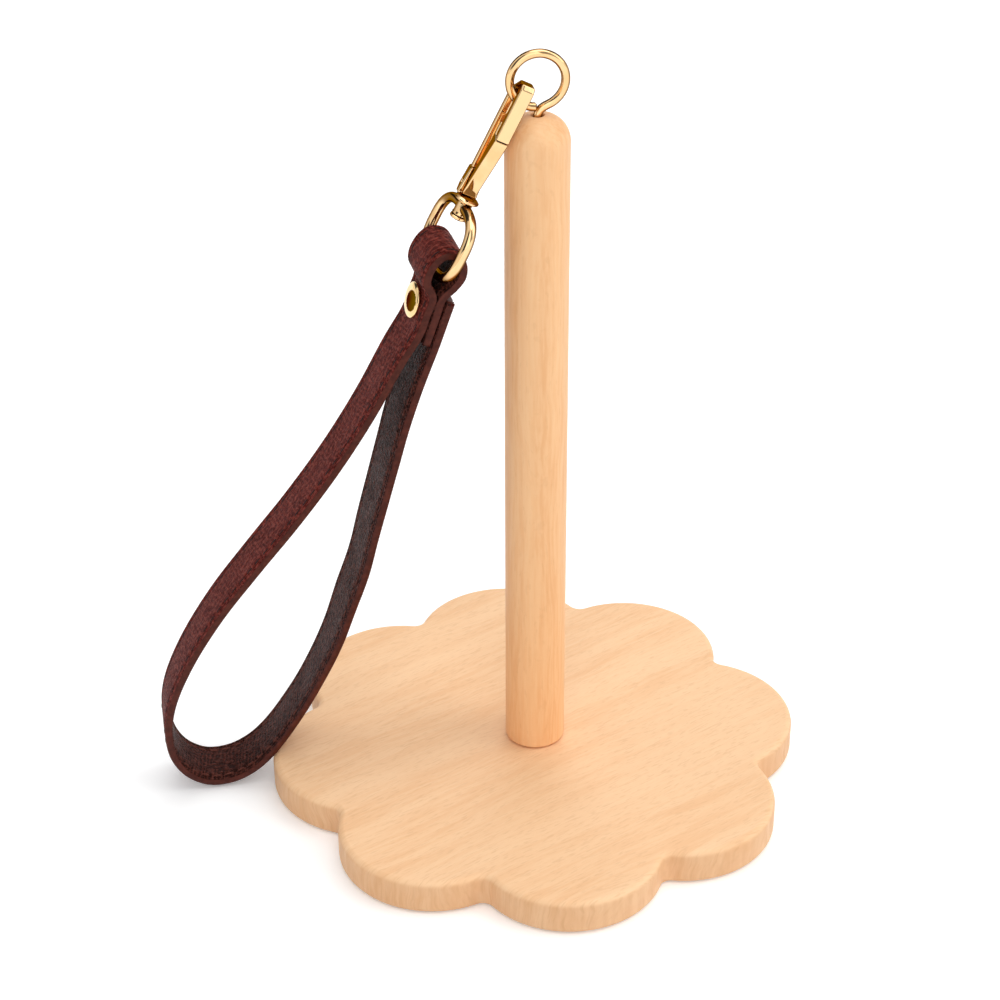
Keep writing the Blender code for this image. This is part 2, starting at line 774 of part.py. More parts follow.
# Swivel
def build_swivel_rivet():
    top = clasp_arch_above_wire - rivet_shank_top
    under = clasp_arch_above_wire - swivel_hub_top - swivel_hub_length - rivet_gap
    foot = under - rivet_head_thickness
    profile = [(0.0, top), (rivet_shank_radius - rivet_shank_edge, top)]
    profile += [(rivet_shank_radius, top - rivet_shank_edge)]
    profile += [(rivet_shank_radius, under), (rivet_head_radius - rivet_head_edge, under)]
    profile += [(rivet_head_radius, under - rivet_head_edge), (rivet_head_radius, under - rivet_head_side)]
    profile += [(rivet_head_radius * 0.86, under - rivet_head_crown), (rivet_head_radius * 0.5, foot)]
    profile += [(0.0, foot)]
    rivet = moved(turned("rivet", profile, small_turn_steps), clasp)
    return origin_at(smooth(keep(rivet, "swivel_rivet", "gold")), clasp @ Vector((0.0, 0.0, top)))


def ring_points():
    spots = []
    fine = ring_steps * 8
    raw = []
    for step in range(fine):
        angle = math.tau * step / fine
        cosine = math.cos(angle)
        sine = math.sin(angle)
        along = -math.copysign(abs(cosine) ** (2 / ring_squareness), cosine) * ring_half_length
        wide = math.copysign(abs(sine) ** (2 / ring_squareness), sine) * ring_half_width
        raw.append(Vector((wide, along)))
    lengths = [0.0]
    for first, second in zip(raw, raw[1:] + raw[:1]):
        lengths.append(lengths[-1] + (second - first).length)
    index = 0
    for step in range(ring_steps):
        goal = lengths[-1] * step / ring_steps
        while lengths[index + 1] < goal:
            index += 1
        share = (goal - lengths[index]) / max(lengths[index + 1] - lengths[index], 1e-9)
        place = raw[index].lerp(raw[(index + 1) % fine], share)
        wide = place[0]
        down = ring_start + ring_half_length + place[1]
        spots.append(Vector((wide * math.cos(ring_turn), -wide * math.sin(ring_turn),
                             clasp_arch_above_wire - down)))
    return spots


def build_swivel_ring():
    ring = wire("ring", ring_points(), ring_wire_radius, cyclic=True, rounds=ring_round_steps)
    top = clasp_arch_above_wire - swivel_hub_top
    foot = top - swivel_hub_length
    bead_top, bead_mid, bead_low = swivel_bead_heights
    profile = [(0.0, top), (swivel_hub_radius - swivel_hub_edge, top)]
    profile += [(swivel_hub_radius, top - swivel_hub_edge)]
    profile += [(swivel_hub_radius, foot + bead_top), (swivel_hub_radius + swivel_bead, foot + bead_mid)]
    profile += [(swivel_hub_radius + swivel_bead, foot + bead_low), (swivel_hub_radius, foot), (0.0, foot)]
    hub = turned("hub", profile, small_turn_steps)
    join(ring, hub, "UNION")
    bore = rod("hub_bore", (0.0, 0.0, foot - cut_allowance), (0.0, 0.0, top + cut_allowance),
               swivel_bore_radius)
    join(ring, bore, "DIFFERENCE")
    ring = moved(applied(ring), clasp)
    return origin_at(smooth(keep(ring, "swivel_ring", "gold")), clasp @ Vector((0.0, 0.0, top)))


def bar_centre():
    return clasp @ Vector((0.0, 0.0, clasp_arch_above_wire - ring_start - 2 * ring_half_length))


# Strap axes: X outward to the left, Y up, Z away from the camera side
def strap_matrix():
    level = math.cos(strap_tilt)
    ruling = Vector((math.sin(strap_yaw) * level, -math.cos(strap_yaw) * level, -math.sin(strap_tilt)))
    out = Vector((-math.cos(strap_yaw), -math.sin(strap_yaw), 0.0))
    rise = out.cross(ruling)
    back = -ruling
    turn = Matrix((out, rise, back)).transposed().to_4x4()
    return Matrix.Translation(bar_centre() + Vector(strap_from_ring_bar)) @ turn


strap = strap_matrix()
lay_down = Vector((math.sin(sandwich_slant), -math.cos(sandwich_slant)))
lay_out = Vector((math.cos(sandwich_slant), math.sin(sandwich_slant)))


def in_sandwich(along, out):
    return Vector(sandwich_point) + lay_down * along + lay_out * out


def spline(points, fine):
    """Smooth curve through the points, spaced by their distances."""
    spots = []
    count = len(points)
    for index in range(count - 1):
        before = points[index - 1] if index > 0 else points[0] * 2 - points[1]
        start = points[index]
        end = points[index + 1]
        after = points[index + 2] if index + 2 < count else end * 2 - start
        gap_before = (start - before).length ** 0.5
        gap = (end - start).length ** 0.5
        gap_after = (after - end).length ** 0.5
        slope_start = ((start - before) / gap_before - (end - before) / (gap_before + gap)
                       + (end - start) / gap) * gap
        slope_end = ((end - start) / gap - (after - start) / (gap + gap_after)
                     + (after - end) / gap_after) * gap
        for step in range(fine):
            share = step / fine
            square = share * share
            cube = square * share
            spots.append(start * (2 * cube - 3 * square + 1) + slope_start * (cube - 2 * square + share)
                         + end * (3 * square - 2 * cube) + slope_end * (cube - square))
    spots.append(points[-1])
    return spots


def strap_knots():
    knots = [in_sandwich(tab_end_along, 0.0), in_sandwich(rivet_along, 0.0), in_sandwich(tab_bend_along, 0.0)]
    knots += [Vector((out * fold_reach, rise * fold_height)) for out, rise in fold_shares]
    knots += [in_sandwich(left_bend_along, layer_pitch), in_sandwich(rivet_along, layer_pitch)]
    knots += [in_sandwich(left_leave_along, layer_pitch)]
    knots += [Vector((out * strap_reach, rise * strap_drop)) for out, rise in loop_shares]
    knots += [in_sandwich(tab_end_along + right_start_beyond, -layer_pitch)]
    knots += [in_sandwich(rivet_along, -layer_pitch)]
    knots += [in_sandwich(right_end_along, -layer_pitch)]
    return knots


def thinned(fine):
    """Keep the points needed to follow the bends, and not more."""
    chosen = [0]
    for index in range(1, len(fine) - 1):
        last = chosen[-1]
        run = (fine[index] - fine[last]).length
        first_way = fine[last + 1] - fine[last]
        way = fine[index + 1] - fine[index]
        turned_by = math.atan2(way[1], way[0]) - math.atan2(first_way[1], first_way[0])
        bend = abs(math.remainder(turned_by, math.tau))
        if bend > path_max_turn or run > path_max_step:
            chosen.append(index)
    chosen.append(len(fine) - 1)
    return chosen


def strap_path():
    """Middle line of the strap with the direction of its outer face at each point."""
    fine = spline(strap_knots(), path_fine_steps)
    path = []
    for index in thinned(fine):
        way = fine[min(index + 1, len(fine) - 1)] - fine[max(index - 1, 0)]
        way.normalize()
        path.append((fine[index], Vector((-way[1], way[0]))))
    return path


def ply_outline(inner, outer):
    path = strap_path()
    spots = [place + normal * outer for place, normal in path]
    spots += [place + normal * inner for place, normal in reversed(path)]
    return spots


def twisted(ob):
    """Lean the band across its width, most at the fold and not at all at the foot of the loop."""
    for vert in ob.data.vertices:
        share = min(max(1.0 + vert.co.y / strap_drop, 0.0), 1.0)
        vert.co.x += strap_twist * share * share * vert.co.z
    return ob


def rivet_place():
    middle = in_sandwich(rivet_along, 0.0)
    return Vector((middle[0], middle[1], 0.0))


def rivet_way():
    """Straight out of the sandwich where the rivet goes through, with the band's twist there."""
    share = 1.0 + rivet_place()[1] / strap_drop
    return Vector((lay_out[0], lay_out[1], -strap_twist * share * share * lay_out[0])).normalized()


def build_ply(name, kind, inner, outer):
    ply = twisted(plate(name, ply_outline(inner, outer), strap_width, ply_edge_rounding, 1))
    middle = rivet_place()
    reach = rivet_way() * 2 * layer_pitch
    hole = rod(name + "_hole", middle - reach, middle + reach, strap_hole_radius)
    join(ply, hole, "DIFFERENCE")
    ply = moved(applied(ply), strap)
    return origin_at(smooth(keep(ply, name, kind)), bar_centre())


def across_sandwich():
    """Turn a piece made upright into one that points out of the sandwich at the rivet."""
    turn = rivet_way().to_track_quat("Z", "Y").to_matrix().to_4x4()
    return strap @ Matrix.Translation(rivet_place()) @ turn


layer_half = ply_thickness + ply_gap / 2
stack_half = layer_pitch + layer_half


def build_cap():
    under = stack_half + leather_to_metal_gap
    top = under + cap_height
    profile = [(0.0, top), (cap_radius * 0.35, top - cap_height * 0.05)]
    profile += [(cap_radius * 0.65, top - cap_height * 0.2), (cap_radius * 0.87, top - cap_height * 0.47)]
    profile += [(cap_radius, under + cap_rim), (cap_radius - cap_rim_edge, under), (cap_socket_radius, under)]
    profile += [(cap_socket_radius, under + cap_socket_depth), (0.0, under + cap_socket_depth)]
    cap = moved(turned("cap", profile, turn_steps), across_sandwich())
    return origin_at(smooth(keep(cap, "rivet_cap", "gold")), bar_centre())


def build_back():
    face = -stack_half - leather_to_metal_gap
    top = stack_half + leather_to_metal_gap + cap_socket_depth - strap_post_end_gap
    profile = [(0.0, top), (strap_post_radius - strap_post_edge, top)]
    profile += [(strap_post_radius, top - strap_post_edge)]
    profile += [(strap_post_radius, face), (back_radius - back_edge, face), (back_radius, face - back_side)]
    profile += [(back_radius * 0.8, face - back_height * 0.75), (back_radius * 0.4, face - back_height)]
    profile += [(0.0, face - back_height)]
    back = moved(turned("back", profile, turn_steps), across_sandwich())
    return origin_at(smooth(keep(back, "rivet_back", "gold")), bar_centre())


build_board()
build_post()
build_bolt()
build_insert()
build_eye()
build_hook()
build_gate()
build_gate_pin()
build_gate_spring()
build_swivel_rivet()
build_swivel_ring()
build_ply("strap_outer", "leather", ply_gap / 2, ply_gap / 2 + ply_thickness)
build_ply("strap_lining", "lining", -ply_gap / 2 - ply_thickness, -ply_gap / 2)
build_cap()
build_back()
for spare in list(cutters.objects):
    bpy.data.objects.remove(spare)
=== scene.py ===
import math

import bmesh
import bpy
from mathutils import Matrix, Vector


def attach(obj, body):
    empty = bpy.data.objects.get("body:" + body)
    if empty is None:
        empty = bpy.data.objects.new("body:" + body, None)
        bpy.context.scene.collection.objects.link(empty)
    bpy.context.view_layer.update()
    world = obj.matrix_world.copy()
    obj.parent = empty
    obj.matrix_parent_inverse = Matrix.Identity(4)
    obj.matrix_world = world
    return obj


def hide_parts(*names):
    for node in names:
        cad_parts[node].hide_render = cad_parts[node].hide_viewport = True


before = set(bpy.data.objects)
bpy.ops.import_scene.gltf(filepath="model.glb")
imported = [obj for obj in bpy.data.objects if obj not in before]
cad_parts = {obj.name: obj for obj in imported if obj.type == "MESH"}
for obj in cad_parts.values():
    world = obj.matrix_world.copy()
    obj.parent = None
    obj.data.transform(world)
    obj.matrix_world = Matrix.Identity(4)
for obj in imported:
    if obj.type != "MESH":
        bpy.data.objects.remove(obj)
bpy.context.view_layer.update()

# The yarn ball holder dressed for its picture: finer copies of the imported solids, leather and finishes.
mm = 0.001
uv_name = "lie"
white = (1.0, 1.0, 1.0, 1.0)
weld_distance = 0.002 * mm
sharp_angle = math.radians(34.0)
ply_sharp_angle = math.radians(50.0)
flat_face_weight = 50
turn_steps = 96
rod_steps = 48
wire_rounds = 10

# Board, the same sizes as the solid's with finer steps
board_lobes = 8
board_lobe_circle_radius = 41.7 * mm
board_lobe_radius = 22.4 * mm
board_notch_radius = 2.6 * mm
board_first_lobe_angle = math.radians(10.8)
board_grain_angle = math.radians(37.0)
board_thickness = 8.8 * mm
board_edge_rounding = 1.6 * mm
board_edge_rounds = 9
board_lobe_arc_steps = 56
board_notch_arc_steps = 20
insert_bore_radius = 3.6 * mm
insert_bore_bottom = 0.95 * mm

# Post
post_radius = 7.1 * mm
post_top = 171.0 * mm
post_shoulder_radius = 5.9 * mm
post_foot_chamfer = 0.6 * mm
post_foot_bore_radius = 2.45 * mm
post_foot_bore_depth = 17.0 * mm
post_eye_bore_radius = 1.35 * mm
post_eye_bore_depth = 13.5 * mm
post_eye_bore_chamfer = 0.2 * mm
touch_gap = 0.25 * mm
shoulder_steps = 28
foot_steps = 5
post_turn_steps = 144

# Screw eye
eye_height = post_top + 7.7 * mm
eye_mean_radius = 5.94 * mm
eye_wire_radius = 0.96 * mm
eye_turn = math.radians(10.6)
eye_tail_angle = math.radians(267.5)
eye_neck_angle = math.radians(-66.0)
eye_arc_steps = 150
eye_neck_steps = 20
eye_neck_pull_share = 0.55
eye_tail_round = 0.3 * mm
eye_tail_steps = 6
eye_foot_below_post_top = 2.2 * mm
eye_shank_rise = 0.4 * mm
eye_shank_overlap = 0.3 * mm
eye_shank_plain = 0.6 * mm
eye_shank_share = 0.97
eye_shank_depth = 12.6 * mm
eye_thread_start = 0.8 * mm
eye_thread_radius = 1.2 * mm
eye_thread_core_radius = 0.85 * mm
eye_thread_pitch = 1.05 * mm
eye_thread_turns = 8

# Snap hook
clasp_lean = math.radians(27.2)
clasp_turn = math.radians(14.2)
clasp_roll = math.radians(-4.1)
clasp_wire_angle = math.radians(219.0)
clasp_forward_shift = 1.36 * mm
clasp_arch_above_wire = 4.58 * mm
clasp_depth = 7.82 * mm
clasp_width = 3.05 * mm
clasp_edge_rounding = 0.42 * mm
clasp_rounds = 4
clasp_front_chamfer = 0.8 * mm
clasp_front_drop = 1.05 * mm
clasp_back_chamfer = 4.1 * mm
clasp_back_drop = 3.2 * mm
nose_thickness = 2.0 * mm
arch_thickness = 1.8 * mm
arch_inner_corner = 1.0 * mm
arch_corner_steps = 12
arch_back_thickness = 1.3 * mm
wire_groove_spread = math.radians(40.0)
wire_groove_steps = 40
spine_thickness = 1.3 * mm
block_top = 22.0 * mm
block_bottom = 27.95 * mm
block_front = -1.4 * mm
block_top_width = 3.7 * mm
block_bottom_width = 4.7 * mm
block_back_inset = 0.35 * mm
block_foot_inset = 1.1 * mm
block_into_collar = 0.3 * mm
block_bend_below_pivot = 1.0 * mm
block_overlap = 0.05 * mm
block_proud = 0.06 * mm
collar_radius = 2.75 * mm
collar_bottom = 28.8 * mm
collar_rim_top = 28.3 * mm
collar_dish = 0.15 * mm
collar_dish_share = 0.80
collar_edge = 0.12 * mm
gate_tip = 9.6 * mm
gate_tongue_thickness = 0.95 * mm
gate_seam_gap = 0.28 * mm
gate_lap_gap = 0.3 * mm
gate_shoulder = 13.3 * mm
gate_foot = 27.65 * mm
gate_foot_front = -0.05 * mm
gate_foot_back = -1.1 * mm
gate_back_below_seam = 0.6 * mm
gate_bend_below_shoulder = 1.0 * mm
gate_tip_back_corner = 0.3 * mm
gate_tip_front_corner = (0.25 * mm, 0.4 * mm)
gate_edge_rounding = 0.3 * mm
gate_lug_root = 0.3 * mm
gate_pivot_down = 25.7 * mm
gate_pivot_back = 2.3 * mm
gate_lug_radius = 0.85 * mm
gate_lug_width = 1.5 * mm
gate_channel_width = 2.0 * mm
gate_channel_reach = 1.0 * mm
gate_pin_radius = 0.4 * mm
gate_pin_clearance = 0.08 * mm
pin_drill_reach = 4.0 * mm
seam_steps = 20
lug_steps = 24
spring_down = 23.3 * mm
spring_pocket_radius = 0.75 * mm
spring_pocket_back = 3.25 * mm
cut_allowance = 1.0 * mm
cast_voxel = 0.085 * mm
cast_smoothing = 7
cast_smoothing_factor = 0.5

# Swivel: rivet, hub and oval ring
swivel_hub_top = 29.05 * mm
swivel_hub_length = 3.1 * mm
swivel_hub_radius = 1.68 * mm
swivel_bore_radius = 0.95 * mm
swivel_hub_edge = 0.2 * mm
swivel_bead = 0.12 * mm
swivel_bead_heights = (0.6 * mm, 0.3 * mm, 0.1 * mm)
ring_start = 30.25 * mm
ring_half_length = 7.58 * mm
ring_half_width = 9.6 * mm
ring_squareness = 2.85
ring_wire_radius = 1.2 * mm
ring_turn = math.radians(80.1)
ring_steps = 220
ring_fine_steps = 8
ring_rounds = 12
rivet_shank_radius = 0.75 * mm
rivet_shank_top = 28.05 * mm
rivet_bore_radius = 0.9 * mm
rivet_bore_clearance = 0.15 * mm
rivet_head_radius = 1.9 * mm
rivet_head_side = 0.5 * mm
rivet_head_thickness = 0.95 * mm
rivet_gap = 0.22 * mm
rivet_edge = 0.12 * mm
rivet_dome_steps = 12
rivet_turn_steps = 64

# Wrist strap
strap_yaw = math.radians(11.0)
strap_tilt = math.radians(5.27)
strap_twist = 0.13
strap_from_ring_bar = (-0.118 * mm, -0.036 * mm, -0.141 * mm)
strap_drop = 137.0 * mm
strap_reach = 65.0 * mm
strap_width = 12.0 * mm
strap_half_thickness = 1.04 * mm
strap_toward_front = 1.0 * mm
right_limb_twist = 0.10
right_limb_twist_from = (0.10, 0.26)
right_limb_twist_to = (0.62, 0.86)
limb_shift = 0.32 * mm
limb_shift_from = (0.14, 0.34)
limb_shift_to = (0.70, 0.88)
layer_pitch = 2.15 * mm
sandwich_point = (0.8 * mm, -8.0 * mm)
sandwich_slant = math.radians(17.0)
rivet_along = 0.5 * mm
tab_end_along = 7.6 * mm
tab_bend_along = -4.3 * mm
left_bend_along = -4.2 * mm
left_leave_along = 4.8 * mm
right_end_along = -3.6 * mm
right_start_beyond = 0.4 * mm
fold_reach = 5.0 * mm
fold_height = 6.75 * mm
fold_shares = (
    (-0.598, -0.193), (-0.923, 0.148), (-0.988, 0.503), (-0.845, 0.830), (-0.585, 0.978),
    (-0.234, 1.000), (0.117, 0.830), (0.455, 0.4445), (0.572, 0.030),
)
loop_shares = (
    (0.132, -0.1445), (0.236, -0.2400), (0.377, -0.3520), (0.508, -0.4430), (0.655, -0.5360),
    (0.798, -0.6310), (0.918, -0.7320), (0.983, -0.8150), (1.000, -0.8760), (0.985, -0.9340),
    (0.938, -0.9740), (0.865, -0.9970), (0.782, -0.9970), (0.705, -0.9800), (0.631, -0.9460),
    (0.523, -0.8680), (0.440, -0.7905), (0.371, -0.7140), (0.317, -0.6370), (0.267, -0.5630),
    (0.231, -0.4880), (0.194, -0.4150), (0.158, -0.3440), (0.1215, -0.2740), (0.077, -0.2040),
    (0.046, -0.1600),
)
path_fine_steps = 24
station_step = 0.5 * mm
ease_reach = 2

# Leather face, from its edge inward in millimetres where it is sampled
face_edge_samples = (0.0, 0.08, 0.2, 0.35, 0.5, 0.6, 0.7, 0.8, 0.92, 1.05, 1.18, 1.3, 1.42, 1.55, 1.68, 1.82)
face_middle_steps = 14
face_crown = 0.08 * mm
face_rim_width = 0.45 * mm
face_rim_drop = 0.30 * mm
ply_from_middle = 0.02 * mm
side_flat = 0.7 * mm
crease_from_edge = 0.75 * mm
crease_depth = 0.20 * mm
crease_half_width = 0.28 * mm

# Edge paint
edge_bead_bulge = 0.22 * mm
edge_bead_half_height = 0.80 * mm
edge_bead_root = (0.3 * mm, 0.55 * mm)
edge_bead_steps = 10
edge_bead_at_ring = 0.12
edge_bead_full_from = (10.0 * mm, 14.0 * mm)
edge_bead_corner = 0.7 * mm
rim_corner_steps = 8
rim_end_steps = 12

# Stitches, each in shares of its length and thickness with its rise in millimetres
stitch_shape = (
    (0.0, 0.45, -0.22), (0.06, 0.75, -0.10), (0.18, 1.0, 0.0), (0.5, 1.05, 0.04),
    (0.82, 1.0, 0.0), (0.94, 0.75, -0.10), (1.0, 0.45, -0.22),
)
stitch_rounds = 8
stitch_from_edge = 1.55 * mm
stitch_channel_depth = 0.20 * mm
stitch_channel_half_width = 0.42 * mm
stitch_pitch = 3.2 * mm
stitch_length = 2.25 * mm
stitch_radius = 0.23 * mm
stitch_margin = 1.5 * mm
stitch_proud = 0.07 * mm
stitch_lean = 0.10 * mm
stitch_flatness = 0.8

# Rivet through the sandwich
cap_radius = 4.0 * mm
cap_height = 1.25 * mm
cap_rim = 0.35 * mm
cap_lip = 0.02 * mm
cap_edge = 0.12 * mm
cap_dome_power = 0.9
cap_dome_steps = 20
cap_turn_steps = 128
# Where the cap's painted dark reflection lies
cap_dark_radius = 2.35 * mm
cap_dark_shift = 1.15 * mm
cap_dark_way = (0.0, -1.0, 0.3)
cap_dark_facing = 0.3
cap_socket_radius = 1.35 * mm
cap_socket_depth = 0.75 * mm
strap_post_radius = 1.1 * mm
strap_post_edge = 0.15 * mm
strap_post_end_gap = 0.2 * mm
back_radius = 3.3 * mm
back_height = 0.9 * mm
back_edge = 0.1 * mm
back_rim = 0.2 * mm
back_dome_steps = 14
leather_to_metal_gap = 0.12 * mm

# Camera, as found from the photograph
camera_place = (0.0, -0.47715, 0.37413)
camera_pitch = 0.559
camera_yaw = -0.0173
camera_roll = -0.0047
camera_lens = 87.89
camera_sensor = 36.0
camera_clip = (0.01, 50.0)

# Floor and studio
floor_radius = 6.0
floor_segments = 160
floor_drop = 0.05 * mm
floor_glow = 0.17
world_overhead = 0.95
world_box = 1.28
world_gap = 0.08
world_side_share = 0.42
box_count = 4.0


# Mesh helpers
dressed = bpy.data.collections.new("dressed")
bpy.context.scene.collection.children.link(dressed)


def new_object(name, data):
    ob = bpy.data.objects.new(name, data)
    dressed.objects.link(ob)
    return ob


def built(name, work):
    """An object made from a bmesh, which is freed here."""
    mesh = bpy.data.meshes.new(name)
    work.to_mesh(mesh)
    work.free()
    return new_object(name, mesh)


def moved(ob, matrix):
    ob.data.transform(matrix)
    return ob


def plain_mesh(ob, weld=weld_distance):
    """Turn a curve, or an object with modifiers, into a welded mesh object."""
    bpy.context.view_layer.update()
    graph = bpy.context.evaluated_depsgraph_get()
    mesh = bpy.data.meshes.new_from_object(ob.evaluated_get(graph))
    mesh.transform(ob.matrix_world)
    work = bmesh.new()
    work.from_mesh(mesh)
    bmesh.ops.remove_doubles(work, verts=work.verts, dist=weld)
    bmesh.ops.recalc_face_normals(work, faces=work.faces)
    work.to_mesh(mesh)
    work.free()
    fresh = new_object(ob.name, mesh)
    bpy.data.objects.remove(ob)
    return fresh


def modified(ob, kind, **settings):
    mod = ob.modifiers.new(kind.lower(), kind)
    for key, value in settings.items():
        setattr(mod, key, value)
    return ob


def smooth(ob):
    ob.data.shade_smooth()
    ob.data.set_sharp_from_angle(angle=sharp_angle)
    return ob


def poly_curve(name, points, cyclic, radii=None, **settings):
    curve = bpy.data.curves.new(name, "CURVE")
    for key, value in settings.items():
        setattr(curve, key, value)
    line = curve.splines.new("POLY")
    line.points.add(len(points) - 1)
    for index, (spot, place) in enumerate(zip(line.points, points)):
        spot.co = (*place, 1.0)
        if radii:
            spot.radius = radii[index]
    line.use_cyclic_u = cyclic
    return plain_mesh(new_object(name, curve))


def wire(name, points, radius, cyclic=False, rounds=wire_rounds, radii=None):
    return poly_curve(name, points, cyclic, radii, dimensions="3D", bevel_depth=radius,
                      bevel_resolution=rounds, use_fill_caps=not cyclic)


def plate(name, outline, thickness, rounding, rounds):
    flat = [(across, up, 0.0) for across, up in outline]
    return poly_curve(name, flat, True, dimensions="2D", fill_mode="BOTH", extrude=thickness / 2 - rounding,
                      bevel_depth=rounding, bevel_resolution=rounds, offset=-rounding)


def turned(name, profile, steps=turn_steps):
    work = bmesh.new()
    spots = [work.verts.new((radius, 0.0, height)) for radius, height in profile]
    for pair in zip(spots, spots[1:]):
        work.edges.new(pair)
    return plain_mesh(modified(
        built(name, work), "SCREW", axis="Z", angle=math.tau, steps=steps, render_steps=steps,
        use_merge_vertices=True, merge_threshold=weld_distance, use_normal_calculate=True))


def rod(name, start, end, radius, steps=rod_steps):
    start, end = Vector(start), Vector(end)
    along = end - start
    work = bmesh.new()
    bmesh.ops.create_cone(work, cap_ends=True, segments=steps, radius1=radius, radius2=radius,
                          depth=along.length)
    turn = along.to_track_quat("Z", "Y").to_matrix().to_4x4()
    return moved(built(name, work), Matrix.Translation((start + end) / 2) @ turn)


def block_between(name, low, high):
    low, high = Vector(low), Vector(high)
    work = bmesh.new()
    bmesh.ops.create_cube(work, size=1.0)
    size = Matrix.Diagonal((*(high - low), 1.0))
    return moved(built(name, work), Matrix.Translation((low + high) / 2) @ size)


def join(ob, *others, kind="UNION"):
    """Exact boolean of one mesh object with others in turn, made real at once."""
    for other in others:
        ob = plain_mesh(modified(ob, "BOOLEAN", operation=kind, solver="EXACT", object=other))
        bpy.data.objects.remove(other)
    return ob


def cut(ob, *tools):
    return join(ob, *tools, kind="DIFFERENCE")


def cast(ob):
    """Melt a joined piece into one skin with small fillets, as a polished casting has."""
    modified(ob, "REMESH", mode="VOXEL", voxel_size=cast_voxel, use_smooth_shade=True)
    ob = plain_mesh(modified(ob, "SMOOTH", factor=cast_smoothing_factor, iterations=cast_smoothing), 0.0)
    ob.data.shade_smooth()
    return ob


def spread(start, end, steps):
    return [start + (end - start) * step / steps for step in range(steps + 1)]


def arc(centre, radius, start, end, steps):
    return [(centre[0] + radius * math.cos(angle), centre[1] + radius * math.sin(angle))
            for angle in spread(start, end, steps)]


def dome(radius, base, height, steps):
    """The round end of a turned profile, from its rim to its middle."""
    spots = arc((0.0, 0.0), 1.0, 0.0, math.pi / 2, steps)[1:]
    spots[-1] = (0.0, 1.0)
    return [(radius * out, base + height * up) for out, up in spots]


def lengths_along(points):
    lengths = [0.0]
    for first, second in zip(points, points[1:]):
        lengths.append(lengths[-1] + (second - first).length)
    return lengths


def even_places(points, lengths, count):
    """Places at even steps along a line of points."""
    places = []
    index = 0
    for number in range(count + 1):
        goal = min(number * (lengths[-1] / count), lengths[-1])
        while index < len(points) - 2 and lengths[index + 1] < goal:
            index += 1
        share = (goal - lengths[index]) / (lengths[index + 1] - lengths[index])
        places.append(points[index].lerp(points[index + 1], share))
    return places


def skinned(work, rows, closed=False, flat=None):
    """Smooth faces between neighbouring rows of corners; flat says where a corner lies on the UV map."""
    count = len(rows[0])
    lie = work.loops.layers.uv[uv_name] if flat else None
    for number in range(len(rows) if closed else len(rows) - 1):
        after = (number + 1) % len(rows)
        for index in range(count):
            other = (index + 1) % count
            face = work.faces.new([rows[number][index], rows[number][other], rows[after][other],
                                   rows[after][index]])
            face.smooth = True
            if flat:
                corners = ((number, 0), (number, 1), (after, 1), (after, 0))
                for loop, (row, ahead) in zip(face.loops, corners):
                    loop[lie].uv = flat(row, index, ahead)


def finished(ob, name, body, slot, material, *nodes):
    """Name a piece, give it its finish, set it on its body and let it stand for its solids."""
    ob.name = name
    ob.data.name = name
    ob.data.materials.clear()
    ob.data.materials.append(material)
    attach(ob, body)
    if nodes:
        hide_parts(*nodes)
    return ob


